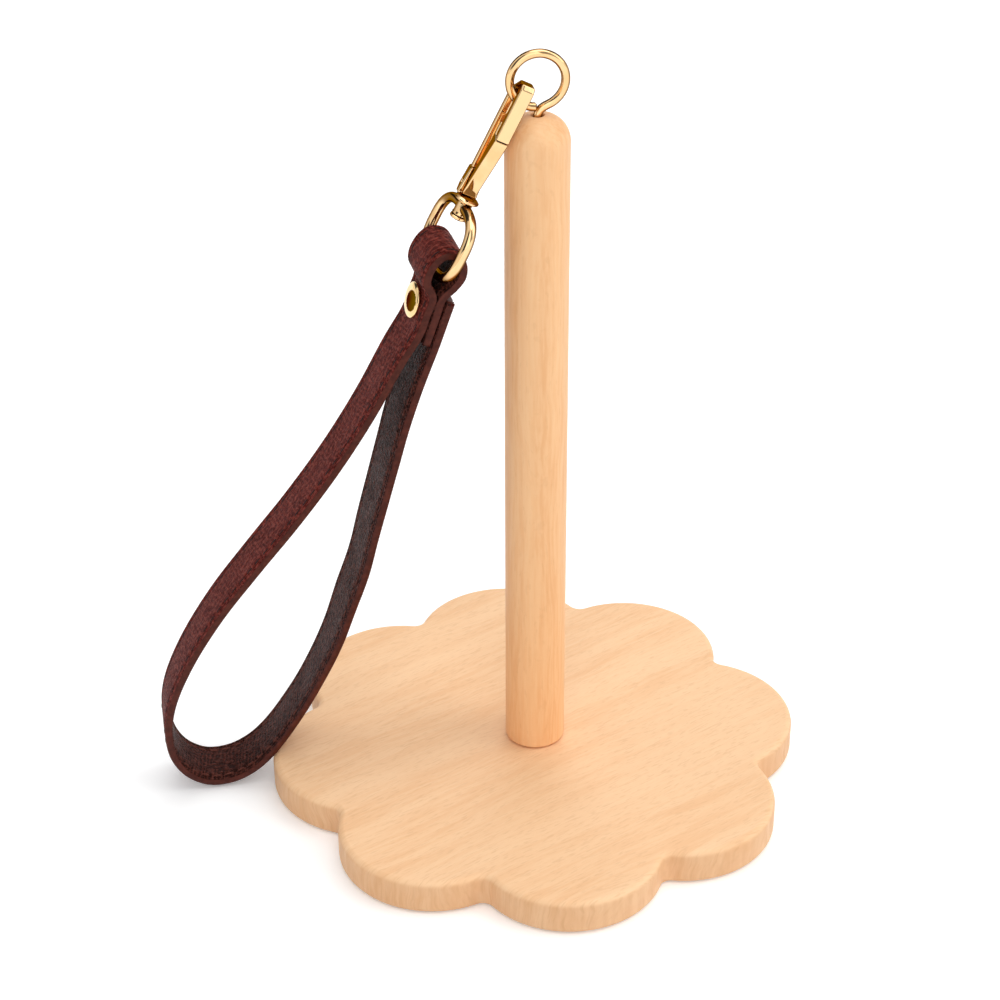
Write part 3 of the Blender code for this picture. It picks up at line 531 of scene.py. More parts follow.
# Node helpers for the finishes
class Tree:
    """The tree of a material or world, emptied down to one shader, with short ways to add nodes."""

    def __init__(self, owner, shader="ShaderNodeBsdfPrincipled", output="ShaderNodeOutputMaterial"):
        owner.use_nodes = True
        self.owner = owner
        self.nodes = owner.node_tree.nodes
        self.links = owner.node_tree.links
        self.nodes.clear()
        self.shader = self.nodes.new(shader)
        self.links.new(self.shader.outputs[0], self.nodes.new(output).inputs["Surface"])

    def feed(self, target, feeds):
        for key, value in feeds.items():
            if isinstance(value, bpy.types.NodeSocket):
                self.links.new(value, target.inputs[key])
            else:
                target.inputs[key].default_value = value

    def paint(self, feeds):
        self.feed(self.shader, feeds)
        return self.owner

    def add(self, kind, feeds=None, out=0, **settings):
        fresh = self.nodes.new(kind)
        for key, value in settings.items():
            setattr(fresh, key, value)
        self.feed(fresh, feeds or {})
        return fresh.outputs[out]

    def split(self, vector):
        fresh = self.nodes.new("ShaderNodeSeparateXYZ")
        self.feed(fresh, {0: vector})
        return fresh.outputs

    def place(self, kind="Object"):
        return self.add("ShaderNodeTexCoord", out=kind)

    def calc(self, kind, *values):
        return self.add("ShaderNodeMath", dict(enumerate(values)), operation=kind)

    def faded(self, share, first, second):
        return self.calc("ADD", self.calc("MULTIPLY", first, self.calc("SUBTRACT", 1.0, share)),
                         self.calc("MULTIPLY", share, second))

    def shifted(self, vector, **push):
        nudge = self.add("ShaderNodeCombineXYZ", push)
        return self.add("ShaderNodeVectorMath", {0: vector, 1: nudge}, operation="ADD")

    def mapped(self, vector, scale=1.0, turn=(0.0, 0.0, 0.0), shift=(0.0, 0.0, 0.0)):
        if isinstance(scale, float):
            scale = (scale, scale, scale)
        return self.add("ShaderNodeMapping",
                        {"Vector": vector, "Rotation": turn, "Scale": scale, "Location": shift})

    def noise(self, vector, scale, detail=2.0, rough=0.5, **way):
        return self.add("ShaderNodeTexNoise", {
            "Vector": self.mapped(vector, scale, **way), "Scale": 1.0, "Detail": detail, "Roughness": rough})

    def cells(self, vector, scale, density, **way):
        return self.add("ShaderNodeTexVoronoi", {
            "Vector": self.mapped(vector, scale, **way), "Scale": density}, feature="DISTANCE_TO_EDGE")

    def waves(self, vector, feeds):
        return self.add("ShaderNodeTexWave", {"Vector": vector, **feeds}, "Fac", wave_type="BANDS",
                        bands_direction="X")

    def between(self, value, low, high, to_low=0.0, to_high=1.0):
        return self.add("ShaderNodeMapRange", {
            "Value": value, "From Min": low, "From Max": high, "To Min": to_low, "To Max": to_high},
            interpolation_type="SMOOTHSTEP")

    def mixed(self, share, first, second):
        return self.add("ShaderNodeMix", {0: share, 6: first, 7: second}, 2, data_type="RGBA")

    def bumped(self, height, distance, strength, under=None):
        feeds = {"Distance": distance, "Strength": strength, "Height": height}
        if under is not None:
            feeds["Normal"] = under
        return self.add("ShaderNodeBump", feeds)


def on_screen(*colours):
    """Colours written as they show on a screen, from 0 to 255, as the shaders take them."""
    answers = []
    for colour in colours:
        shares = [part / 255.0 for part in colour]
        light = [share / 12.92 if share <= 0.04045 else ((share + 0.055) / 1.055) ** 2.4 for share in shares]
        answers.append((*light, 1.0))
    return answers


def dimmed(colour, red, green, blue):
    return (colour[0] * red, colour[1] * green, colour[2] * blue, 1.0)


# Finishes
def wood_material(name, turn, length, colours, fleck, painted_side_shade, shine):
    """Pale close-grained wood: broad bands along the grain, fine pores and short flecks, with painted shade
    on the upright sides.
    """
    light, mid, dark = on_screen(*colours)
    long_run, across, depth = length
    tree = Tree(bpy.data.materials.new(name))
    grain = tree.mapped(tree.place(), turn=turn)
    grain = tree.shifted(grain, Y=tree.calc("MULTIPLY", tree.noise(grain, (18.0, 60.0, 60.0)), 0.006))
    bands = tree.noise(grain, length, 4.0, 0.55)
    fine = tree.noise(grain, (long_run * 8.0, across * 7.0, depth * 4.0), 3.0, 0.6)
    pores = tree.noise(grain, (330.0, 3300.0, 330.0))
    flecks = tree.noise(grain, (420.0, 2900.0, 160.0), 1.0, 0.4, shift=(3.0, 5.0, 2.0))
    lines = tree.noise(grain, (420.0, 900.0, 20.0), 3.0, 0.6)
    spot_colour = dimmed(dark, 0.80, 0.74, 0.68)
    colour = tree.mixed(tree.between(bands, 0.32, 0.68), dark, mid)
    colour = tree.mixed(tree.between(fine, 0.35, 0.65, 0.0, 0.50), colour, light)
    colour = tree.mixed(tree.between(flecks, 0.54, 0.72, 0.0, fleck), colour, spot_colour)
    colour = tree.mixed(tree.between(pores, 0.30, 0.42, 0.16, 0.0), colour, spot_colour)
    # Painted shade: upright faces are darkened, the darkening broken up by vertical streaks.
    steep = tree.calc("ABSOLUTE", tree.split(tree.place("Normal"))["Z"])
    upright = tree.calc("MULTIPLY", tree.between(steep, 0.25, 0.75, painted_side_shade, 0.0),
                        tree.between(lines, 0.3, 0.7, 1.25, 0.6))
    height = tree.calc("ADD", tree.calc("MULTIPLY", pores, 0.6), tree.calc("MULTIPLY", fine, 0.5))
    return tree.paint({
        "Base Color": tree.mixed(upright, colour, dimmed(dark, 0.80, 0.66, 0.54)),
        "Roughness": tree.between(fine, 0.3, 0.7, 0.56, 0.47),
        "Specular IOR Level": shine,
        "Normal": tree.bumped(height, 0.05 * mm, 0.35)})


def metal_material(name, colour, shade, rough, scratch=0.5, painted_rim_reflection=0.0, warm_edge=0.0):
    """Polished or brushed metal: faint waves, hairline scratches, a slightly uneven gloss and, where asked, a
    painted dark reflection that darkens the colour toward the rims.
    """
    colour, shade = on_screen(colour, shade)
    tree = Tree(bpy.data.materials.new(name))
    place = tree.place()
    wave = tree.noise(place, 520.0)
    hair = tree.noise(place, (900.0, 14000.0, 9000.0), turn=(0.4, 0.7, 0.2))
    cloud = tree.noise(place, 240.0, 3.0, shift=(4.0, 1.0, 7.0))
    turned_away = tree.add("ShaderNodeLayerWeight", out="Facing")
    body = tree.mixed(tree.between(cloud, 0.35, 0.7), colour, shade)
    # Painted dark reflection: the colour darkens where the surface turns away from the view.
    body = tree.mixed(tree.between(turned_away, 0.20, 0.50, 0.0, painted_rim_reflection), body,
                      dimmed(shade, 0.24, 0.17, 0.10))
    rim_tint = [1.0 - warm_edge + part * warm_edge for part in (0.30, 0.21, 0.10)]
    return tree.paint({
        "Base Color": body,
        "Metallic": 1.0,
        "Specular Tint": (*rim_tint, 1.0),
        "Roughness": tree.calc("ADD", tree.between(cloud, 0.3, 0.7, rough * 0.8, rough * 1.25),
                               tree.between(hair, 0.55, 0.75, 0.0, 0.06 * scratch)),
        "Normal": tree.bumped(hair, 0.004 * mm, 0.25 * scratch, tree.bumped(wave, 0.05 * mm, 0.10))})


def leather_material(name, colours, rough, wrinkle, grain_size, shine, pebble_painted_shade, contrast):
    """Pebbled leather laid along the strap, with creases and colour that drifts; painted highlights on fibres
    and crease ridges, and painted shade between pebbles and in fibre and crease hollows.
    """
    base, deep, painted_sheen = on_screen(*colours)
    tree = Tree(bpy.data.materials.new(name))
    flat = tree.mapped(tree.add("ShaderNodeUVMap", uv_map=uv_name), 1.0 / mm)
    soft_warp = tree.noise(flat, (0.9, 0.9, 1.0))
    spot = tree.shifted(flat, X=soft_warp, Y=tree.calc("MULTIPLY", soft_warp, -0.7))
    pebble = tree.cells(spot, (1.0, 1.35, 1.0), 1.0 / grain_size, turn=(0.0, 0.0, 0.5))
    small = tree.cells(spot, (1.2, 1.0, 1.0), 2.3 / grain_size, shift=(5.0, 2.0, 0.0))
    fibre = tree.noise(spot, (0.62, 1.35, 1.0), 3.0, 0.6, turn=(0.0, 0.0, 0.55))
    folds = tree.waves(tree.mapped(spot, (1.0, 0.55, 1.0), turn=(0.0, 0.0, 0.45)),
                       {"Scale": 0.314, "Distortion": 9.0, "Detail": 2.0, "Detail Scale": 0.55})
    patch = tree.noise(flat, (0.30, 0.30, 1.0), 1.0, shift=(7.0, 3.0, 0.0))
    crease = tree.mixed(tree.between(patch, 0.36, 0.56, 0.25, 1.0), (0.5, 0.5, 0.5, 1.0), folds)
    drift = tree.noise(flat, (0.10, 0.16, 1.0), 3.0)
    hill = tree.between(pebble, 0.0, 0.16)
    low = tree.between(small, 0.0, 0.14)
    colour = tree.mixed(tree.between(drift, 0.3, 0.7), base, deep)
    # Painted light: the third colour is a painted highlight on fibres and ridges, the dimmed deep colours are
    # painted shade in the hollows.
    for share, shade in (
            (tree.between(hill, 0.0, 1.0, pebble_painted_shade, 0.0), dimmed(deep, 0.36, 0.33, 0.33)),
            (tree.between(fibre, 0.47, 0.60, 0.0, contrast), painted_sheen),
            (tree.between(fibre, 0.38, 0.48, contrast, 0.0), dimmed(deep, 0.40, 0.35, 0.35)),
            (tree.between(crease, 0.62, 0.95, 0.0, 0.42 * wrinkle), painted_sheen),
            (tree.between(crease, 0.08, 0.45, 0.45 * wrinkle, 0.0), dimmed(deep, 0.35, 0.30, 0.30))):
        colour = tree.mixed(share, colour, shade)
    bump = None
    for height, distance, strength in (
            (crease, 0.12 * mm, min(0.7 * wrinkle, 1.0)), (fibre, 0.45 * mm, 0.9),
            (low, 0.06 * mm, 0.8), (hill, 0.16 * mm, 1.0)):
        bump = tree.bumped(height, distance, strength, bump)
    return tree.paint({
        "Base Color": colour,
        "Roughness": tree.calc("ADD", tree.between(drift, 0.2, 0.8, rough - 0.05, rough + 0.07),
                               tree.between(hill, 0.0, 1.0, 0.14, 0.0)),
        "Specular IOR Level": shine,
        "IOR": 1.33,
        "Normal": bump})


def paint_material(name, *colours):
    """Burnished edge paint: smooth, a little uneven, lighter where it is rubbed."""
    base, worn = on_screen(*colours)
    tree = Tree(bpy.data.materials.new(name))
    place = tree.place()
    cloud = tree.noise(place, 700.0, 3.0)
    grit = tree.noise(place, 5200.0)
    return tree.paint({
        "Base Color": tree.mixed(tree.between(cloud, 0.35, 0.7), base, worn),
        "Roughness": tree.between(grit, 0.3, 0.7, 0.36, 0.50),
        "Specular IOR Level": 0.16,
        "Normal": tree.bumped(grit, 0.02 * mm, 0.4, tree.bumped(cloud, 0.10 * mm, 0.4))})


def thread_material(name, *colours):
    """Waxed sewing thread with its twist."""
    base, deep = on_screen(*colours)
    tree = Tree(bpy.data.materials.new(name))
    lie = tree.add("ShaderNodeUVMap", uv_map=uv_name)
    ply = tree.waves(tree.mapped(lie, (5200.0, 5200.0, 1.0), turn=(0.0, 0.0, 0.75)),
                     {"Scale": 1.0, "Distortion": 0.6})
    return tree.paint({
        "Base Color": tree.mixed(ply, deep, base),
        "Roughness": tree.between(ply, 0.0, 1.0, 0.62, 0.48),
        "Specular IOR Level": 0.2,
        "Normal": tree.bumped(ply, 0.04 * mm, 0.7)})


# The board's second-to-last number is the strength of its painted shade on the upright sides.
board_wood = wood_material("board_wood", (0.0, 0.0, -board_grain_angle), (9.0, 120.0, 40.0),
                           ((252, 211, 167), (249, 205, 160), (242, 192, 144)), 0.28, 0.36, 0.35)
post_wood = wood_material("post_wood", (0.0, math.radians(90.0), 0.0), (8.0, 260.0, 260.0),
                          ((255, 208, 157), (252, 199, 145), (244, 185, 129)), 0.05, 0.0, 0.55)
# The gold's rims take a strong painted dark reflection.
gold = metal_material("polished_gold", (249, 211, 158), (243, 199, 143), 0.06, painted_rim_reflection=0.88, warm_edge=0.9)
cap_gold = metal_material("cap_gold", (250, 216, 160), (244, 206, 146), 0.10)
# A dark olive gold that paints a dark reflection into the cap's middle.
cap_painted_reflection = metal_material("cap_painted_reflection", (112, 88, 30), (98, 76, 22), 0.12, warm_edge=1.0)
steel = metal_material("spring_steel", (196, 194, 190), (176, 175, 172), 0.28, 1.5)
brass = metal_material("turned_brass", (222, 188, 118), (204, 166, 96), 0.24, 1.5)
# Each leather's third colour is a painted highlight; its last two numbers set the painted shade between
# pebbles and the painted light and shade on the fibres.
outer_leather = leather_material("outer_leather", ((122, 42, 33), (100, 31, 24), (162, 80, 68)),
                                 0.48, 0.60, 0.80, 0.12, 0.60, 0.50)
inner_leather = leather_material("inner_leather", ((68, 27, 19), (54, 19, 12), (132, 72, 60)),
                                 0.45, 0.80, 1.0, 0.20, 0.30, 0.40)
edge_paint = paint_material("edge_paint", (70, 27, 18), (88, 38, 27))
outer_thread = thread_material("outer_thread", (60, 20, 17), (34, 9, 8))
inner_thread = thread_material("inner_thread", (132, 74, 60), (80, 36, 28))


# Board and post
def board_outline():
    half = math.pi / board_lobes
    side_way = board_lobe_circle_radius * math.sin(half)
    reach = board_lobe_radius + board_notch_radius
    notch_distance = board_lobe_circle_radius * math.cos(half) + math.sqrt(reach ** 2 - side_way ** 2)
    spots = []
    for lobe in range(board_lobes):
        angle = board_first_lobe_angle + lobe * math.tau / board_lobes
        centre = (board_lobe_circle_radius * math.cos(angle), board_lobe_circle_radius * math.sin(angle))
        notch_angle = angle + half
        notch = (notch_distance * math.cos(notch_angle), notch_distance * math.sin(notch_angle))
        toward = math.atan2(notch[1] - centre[1], notch[0] - centre[0])
        swing = math.remainder(toward - angle, math.tau)
        spots += arc(centre, board_lobe_radius, angle - swing, angle + swing, board_lobe_arc_steps)
        start = toward + math.pi
        turn = math.remainder(2 * notch_angle - toward + math.pi - start, math.tau)
        spots += arc(notch, board_notch_radius, start, start + turn, board_notch_arc_steps)[1:-1]
    return spots


def make_board():
    """The board with its bore; its flat faces keep flat shading beside their rounded edges."""
    ob = plate("board", board_outline(), board_thickness, board_edge_rounding, board_edge_rounds)
    moved(ob, Matrix.Translation((0.0, 0.0, board_thickness / 2)))
    bore = rod("insert_bore", (0.0, 0.0, insert_bore_bottom),
               (0.0, 0.0, board_thickness + cut_allowance), insert_bore_radius, turn_steps)
    ob = modified(smooth(cut(ob, bore)), "WEIGHTED_NORMAL", mode="FACE_AREA", weight=flat_face_weight,
                  keep_sharp=True)
    finished(ob, "wooden_board", "stand", "wood", board_wood, "base_board")


def make_post():
    foot = board_thickness + touch_gap
    shoulder = (post_radius - post_shoulder_radius, post_top - post_shoulder_radius)
    bore_edge = math.acos((post_eye_bore_radius + post_eye_bore_chamfer - shoulder[0]) / post_shoulder_radius)
    profile = [(0.0, post_top - post_eye_bore_depth), (post_eye_bore_radius, post_top - post_eye_bore_depth),
               (post_eye_bore_radius, post_top - post_eye_bore_chamfer)]
    profile += arc(shoulder, post_shoulder_radius, bore_edge, 0.0, shoulder_steps)
    profile += arc((post_radius - post_foot_chamfer, foot + post_foot_chamfer), post_foot_chamfer,
                   0.0, -math.pi / 2, foot_steps)
    profile += [(post_foot_bore_radius, foot), (post_foot_bore_radius, foot + post_foot_bore_depth),
                (0.0, foot + post_foot_bore_depth)]
    finished(smooth(turned("post_body", profile, post_turn_steps)), "wooden_post", "stand", "wood",
             post_wood, "post")


# Screw eye
def on_eye(angle):
    """A place on the middle of the eye's wire, from the eye's centre."""
    return eye_mean_radius * Vector((math.cos(angle), 0.0, math.sin(angle)))


def eye_route():
    """The wire's middle: round the eye from its tail, then down the neck to the shank."""
    centre = Vector((0.0, 0.0, eye_height))
    spots = [centre + on_eye(angle) for angle in spread(eye_tail_angle, eye_neck_angle, eye_arc_steps)]
    last = spots[-1]
    foot = Vector((0.0, 0.0, post_top - eye_foot_below_post_top))
    pull = (last - foot).length * eye_neck_pull_share
    first = last + Vector((math.sin(eye_neck_angle), 0.0, -math.cos(eye_neck_angle))) * pull
    second = foot + Vector((0.0, 0.0, pull))
    for share in spread(0.0, 1.0, eye_neck_steps)[1:]:
        spots.append((1 - share) ** 3 * last + 3 * share * (1 - share) ** 2 * first
                     + 3 * share ** 2 * (1 - share) * second + share ** 3 * foot)
    return spots


def make_eye():
    spots = eye_route()
    start = spots[0]
    tail_way = (start - spots[1]).normalized()
    rounded = []
    radii = []
    for angle in spread(0.0, math.pi / 2, eye_tail_steps)[:-1]:
        rounded.append(start - tail_way * eye_tail_round * math.sin(angle))
        radii.append((eye_wire_radius - eye_tail_round * (1 - math.sin(angle))) / eye_wire_radius)
    rest = [spot for spot in spots if (spot - start).length > eye_tail_round]
    ring = wire("eye_ring", rounded + rest, eye_wire_radius, radii=radii + [1.0] * len(rest))
    moved(ring, Matrix.Rotation(eye_turn, 4, "Z"))
    top = post_top - eye_foot_below_post_top + eye_shank_rise
    collar = eye_wire_radius * eye_shank_share
    profile = [(0.0, top + eye_shank_overlap), (collar, top + eye_shank_overlap),
               (collar, top - eye_shank_plain)]
    thread_top = top - eye_thread_start
    for turn in range(eye_thread_turns):
        height = thread_top - turn * eye_thread_pitch
        profile += [(eye_thread_core_radius, height), (eye_thread_radius, height - eye_thread_pitch / 2)]
    profile += [(eye_thread_core_radius, thread_top - eye_thread_turns * eye_thread_pitch),
                (0.0, post_top - eye_shank_depth)]
    ring = join(ring, turned("eye_shank", profile, rod_steps))
    finished(smooth(ring), "eye_wire", "stand", "gold", gold, "screw_eye")


# Snap hook axes: X across the flats, Y to the back, Z up the hook from the wire of the eye
def clasp_matrix():
    turn = Matrix.Rotation(clasp_turn, 4, "Z") @ Matrix.Rotation(clasp_lean, 4, "Y")
    turn = turn @ Matrix.Rotation(clasp_roll, 4, "Z")
    out = eye_mean_radius * math.cos(clasp_wire_angle)
    place = Vector((out * math.cos(eye_turn), out * math.sin(eye_turn),
                    eye_height + eye_mean_radius * math.sin(clasp_wire_angle)))
    return Matrix.Translation(place) @ turn @ Matrix.Translation((0.0, -clasp_forward_shift, 0.0))


clasp = clasp_matrix()
side_to_clasp = Matrix(((0.0, 0.0, 1.0), (1.0, 0.0, 0.0), (0.0, 1.0, 0.0))).to_4x4()
half_depth = clasp_depth / 2
nose_inner = half_depth - nose_thickness
spine_inner = -half_depth + spine_thickness
pivot_front = -gate_pivot_back
seam_radius = math.hypot(half_depth - pivot_front, gate_pivot_down - gate_shoulder)
block_end = block_bottom + block_into_collar
block_bend = gate_pivot_down + block_bend_below_pivot


def up_at(down):
    """The height on the hook's own axis of a place so far below the arch's top."""
    return clasp_arch_above_wire - down


def seam(start, end, radius):
    """The curved joint of gate and nose, as places with their depth below the arch."""
    return [(front, gate_pivot_down - math.sqrt(radius ** 2 - (front - pivot_front) ** 2))
            for front in spread(start, end, seam_steps)]


def clasp_plate(name, spots, width, rounding, rounds=clasp_rounds):
    outline = [(-front, up_at(down)) for front, down in spots]
    return moved(plate(name, outline, width, rounding, rounds), side_to_clasp)


def hook_outline():
    corner = arch_inner_corner
    steepness = clasp_back_drop / clasp_back_chamfer
    chamfer_top = -half_depth + clasp_back_chamfer
    wall = arch_back_thickness * math.hypot(1.0, steepness)
    spots = [(half_depth - clasp_front_chamfer, 0.0), (half_depth, clasp_front_drop)]
    spots += seam(half_depth, nose_inner, seam_radius + gate_seam_gap)
    spots += arc((nose_inner - corner, arch_thickness + corner), corner, 0.0, -math.pi / 2, arch_corner_steps)
    return spots + [
        (chamfer_top - (arch_thickness - wall) / steepness, arch_thickness),
        (spine_inner, (chamfer_top - spine_inner) * steepness + wall),
        (spine_inner, block_top), (block_front, block_top), (block_front, block_end),
        (-half_depth + block_foot_inset, block_end), (-half_depth + block_back_inset, block_bend),
        (-half_depth, block_top), (-half_depth, clasp_back_drop), (chamfer_top, 0.0)]


def make_block():
    """The swivel block, which widens toward the collar."""
    low_top = block_top + block_overlap
    block = clasp_plate("block", [
        (block_front, low_top), (block_front, block_end), (-half_depth + block_foot_inset, block_end),
        (-half_depth + block_back_inset - block_overlap, block_bend), (-half_depth - block_proud, low_top)],
        block_bottom_width, clasp_edge_rounding)
    top_share = block_top_width / block_bottom_width
    for vert in block.data.vertices:
        down = clasp_arch_above_wire - vert.co.z
        share = min(max((down - block_top) / (block_bottom - block_top), 0.0), 1.0)
        vert.co.x *= top_share + (1.0 - top_share) * share
    return block


def wire_groove():
    spots = [on_eye(clasp_wire_angle + wire_groove_spread * share)
             for share in spread(-1.0, 1.0, wire_groove_steps)]
    groove = wire("wire_groove", spots, eye_wire_radius + touch_gap)
    place = Matrix.Translation((0.0, 0.0, eye_height)) @ Matrix.Rotation(eye_turn, 4, "Z")
    return moved(groove, clasp.inverted() @ place)


def pin_drill():
    height = up_at(gate_pivot_down)
    return rod("pin_hole", (-pin_drill_reach, gate_pivot_back, height),
               (pin_drill_reach, gate_pivot_back, height), gate_pin_radius + gate_pin_clearance)


def make_hook():
    body = clasp_plate("hook", hook_outline(), clasp_width, clasp_edge_rounding)
    collar = turned("collar", [(radius, -down) for radius, down in (
        (0.0, block_bottom - collar_dish), (collar_radius * collar_dish_share, block_bottom),
        (collar_radius, collar_rim_top + block_overlap), (collar_radius, collar_bottom - collar_edge),
        (collar_radius - collar_edge, collar_bottom), (0.0, collar_bottom))])
    moved(collar, Matrix.Translation((0.0, 0.0, clasp_arch_above_wire)))
    height = up_at(gate_pivot_down)
    channel = block_between(
        "channel", (-gate_channel_width / 2, -block_front - cut_allowance, height - gate_channel_reach),
        (gate_channel_width / 2, gate_pivot_back + gate_channel_reach, height + gate_channel_reach))
    pocket = rod("spring_pocket", (0.0, -cut_allowance, up_at(spring_down)),
                 (0.0, spring_pocket_back, up_at(spring_down)), spring_pocket_radius)
    bore = rod("rivet_bore", (0.0, 0.0, up_at(collar_bottom) - cut_allowance),
               (0.0, 0.0, up_at(rivet_shank_top) + rivet_bore_clearance), rivet_bore_radius)
    body = cut(join(body, make_block(), collar), channel, pin_drill(), pocket, bore, wire_groove())
    finished(moved(cast(body), clasp), "hook_casting", "hook", "gold", gold, "hook_body")


def make_gate():
    tongue_front = nose_inner - gate_lap_gap
    tongue_back = tongue_front - gate_tongue_thickness
    corner = gate_tip_back_corner
    bend_down = gate_shoulder + gate_bend_below_shoulder
    spots = [(tongue_back, gate_tip + corner), (tongue_back + corner, gate_tip),
             (tongue_front - gate_tip_front_corner[0], gate_tip),
             (tongue_front, gate_tip + gate_tip_front_corner[1])]
    spots += seam(tongue_front, half_depth, seam_radius)
    spots += [(gate_foot_front, gate_foot), (gate_foot_back, gate_foot), (gate_back_below_seam, bend_down)]
    lever = clasp_plate("gate_lever", spots, clasp_width, gate_edge_rounding)
    slope = (gate_foot_back - gate_back_below_seam) / (gate_foot - bend_down)
    lug_spots = arc((pivot_front, gate_pivot_down), gate_lug_radius, math.pi / 2, math.pi * 1.5, lug_steps)
    for down in (gate_pivot_down - gate_lug_radius, gate_pivot_down + gate_lug_radius):
        lug_spots.append((gate_back_below_seam + slope * (down - bend_down) + gate_lug_root, down))
    lever = join(lever, clasp_plate("lug", lug_spots, gate_lug_width, 0.0, 0))
    finished(moved(cast(cut(lever, pin_drill())), clasp), "gate_casting", "gate", "gold", gold, "gate")


# Swivel
def make_swivel_rivet():
    top = up_at(rivet_shank_top)
    under = up_at(swivel_hub_top) - swivel_hub_length - rivet_gap
    edge = rivet_edge
    side = under - rivet_head_side
    profile = [(0.0, top), (rivet_shank_radius - edge, top), (rivet_shank_radius, top - edge),
               (rivet_shank_radius, under), (rivet_head_radius - edge, under),
               (rivet_head_radius, under - edge), (rivet_head_radius, side)]
    profile += dome(rivet_head_radius, side, rivet_head_side - rivet_head_thickness, rivet_dome_steps)
    rivet = moved(turned("peened_rivet", profile, rivet_turn_steps), clasp)
    finished(smooth(rivet), "peened_rivet", "hook", "gold", gold, "swivel_rivet")


def rounded_power(value):
    """The sign of a sine or cosine with its size bent toward a squarer curve."""
    return math.copysign(abs(value) ** (2 / ring_squareness), value)


def ring_points():
    """The wire's middle round an oval that is squarer than an ellipse, at even steps."""
    fine = ring_steps * ring_fine_steps
    raw = []
    for step in range(fine):
        angle = math.tau * step / fine
        raw.append(Vector((rounded_power(math.sin(angle)) * ring_half_width,
                           -rounded_power(math.cos(angle)) * ring_half_length)))
    raw.append(raw[0])
    spots = []
    for wide, along in even_places(raw, lengths_along(raw), ring_steps)[:-1]:
        spots.append(Vector((wide * math.cos(ring_turn), -wide * math.sin(ring_turn),
                             up_at(ring_start + ring_half_length + along))))
    return spots


def make_ring():
    ring = wire("ring", ring_points(), ring_wire_radius, cyclic=True, rounds=ring_rounds)
    top = up_at(swivel_hub_top)
    foot = top - swivel_hub_length
    bead_top, bead_mid, bead_low = swivel_bead_heights
    bead_radius = swivel_hub_radius + swivel_bead
    hub = turned("hub", [
        (0.0, top), (swivel_hub_radius - swivel_hub_edge, top), (swivel_hub_radius, top - swivel_hub_edge),
        (swivel_hub_radius, foot + bead_top), (bead_radius, foot + bead_mid), (bead_radius, foot + bead_low),
        (swivel_hub_radius, foot), (0.0, foot)])
    bore = rod("hub_bore", (0.0, 0.0, foot - cut_allowance), (0.0, 0.0, top + cut_allowance),
               swivel_bore_radius)
    ring = moved(cast(cut(join(ring, hub), bore)), clasp)
    finished(ring, "ring_casting", "ring", "gold", gold, "swivel_ring")


# Strap axes: X outward to the left, Y up, Z away from the camera side
bar_centre = clasp @ Vector((0.0, 0.0, up_at(ring_start) - 2 * ring_half_length))


def strap_matrix():
    level = math.cos(strap_tilt)
    ruling = Vector((math.sin(strap_yaw) * level, -math.cos(strap_yaw) * level, -math.sin(strap_tilt)))
    out = Vector((-math.cos(strap_yaw), -math.sin(strap_yaw), 0.0))
    turn = Matrix((out, out.cross(ruling), -ruling)).transposed().to_4x4()
    return Matrix.Translation(bar_centre + Vector(strap_from_ring_bar)) @ turn


strap = strap_matrix()
lay_down = Vector((math.sin(sandwich_slant), -math.cos(sandwich_slant)))
lay_out = Vector((math.cos(sandwich_slant), math.sin(sandwich_slant)))


def in_sandwich(along, out):
    return Vector(sandwich_point) + lay_down * along + lay_out * out


def spline(points, fine):
    """A smooth line through points, eased by the square root of the gaps between them."""
    ends = [points[0] * 2 - points[1]] + points + [points[-1] * 2 - points[-2]]
    spots = []
    for before, start, end, after in zip(ends, ends[1:], ends[2:], ends[3:]):
        gap_before, gap, gap_after = [
            (second - first).length ** 0.5 for first, second in ((before, start), (start, end), (end, after))]
        slope_start = ((start - before) / gap_before - (end - before) / (gap_before + gap)
                       + (end - start) / gap) * gap
        slope_end = ((end - start) / gap - (after - start) / (gap + gap_after)
                     + (after - end) / gap_after) * gap
        for step in range(fine):
            share = step / fine
            square = share * share
            cube = square * share
            spots.append(start * (2 * cube - 3 * square + 1) + slope_start * (cube - 2 * square + share)
                         + end * (3 * square - 2 * cube) + slope_end * (cube - square))
    return spots + [points[-1]]


def strap_knots():
    knots = [in_sandwich(along, 0.0) for along in (tab_end_along, rivet_along, tab_bend_along)]
    knots += [Vector((out * fold_reach, up * fold_height)) for out, up in fold_shares]
    knots += [in_sandwich(along, layer_pitch) for along in (left_bend_along, rivet_along, left_leave_along)]
    knots += [Vector((out * strap_reach, up * strap_drop)) for out, up in loop_shares]
    return knots + [in_sandwich(along, -layer_pitch) for along in (
        tab_end_along + right_start_beyond, rivet_along, right_end_along)]


def strap_stations():
    """Places along the strap at even steps, each with the way its outer face looks."""
    fine = spline(strap_knots(), path_fine_steps)
    lengths = lengths_along(fine)
    count = int(lengths[-1] / station_step)
    places = even_places(fine, lengths, count)
    ways = []
    for number in range(count + 1):
        ways.append((places[min(number + 1, count)] - places[max(number - 1, 0)]).normalized())
    eased = []
    for number in range(count + 1):
        near = ways[max(number - ease_reach, 0):number + ease_reach + 1]
        eased.append(sum(near, Vector((0.0, 0.0))).normalized())
    return places, eased, lengths[-1] / count


strap_places, strap_ways, strap_step = strap_stations()
strap_length = strap_step * (len(strap_places) - 1)
strap_half = strap_width / 2
stack_half = layer_pitch + strap_half_thickness


def rise(value, low, high):
    share = min(max((value - low) / (high - low), 0.0), 1.0)
    return share * share * (3.0 - 2.0 * share)


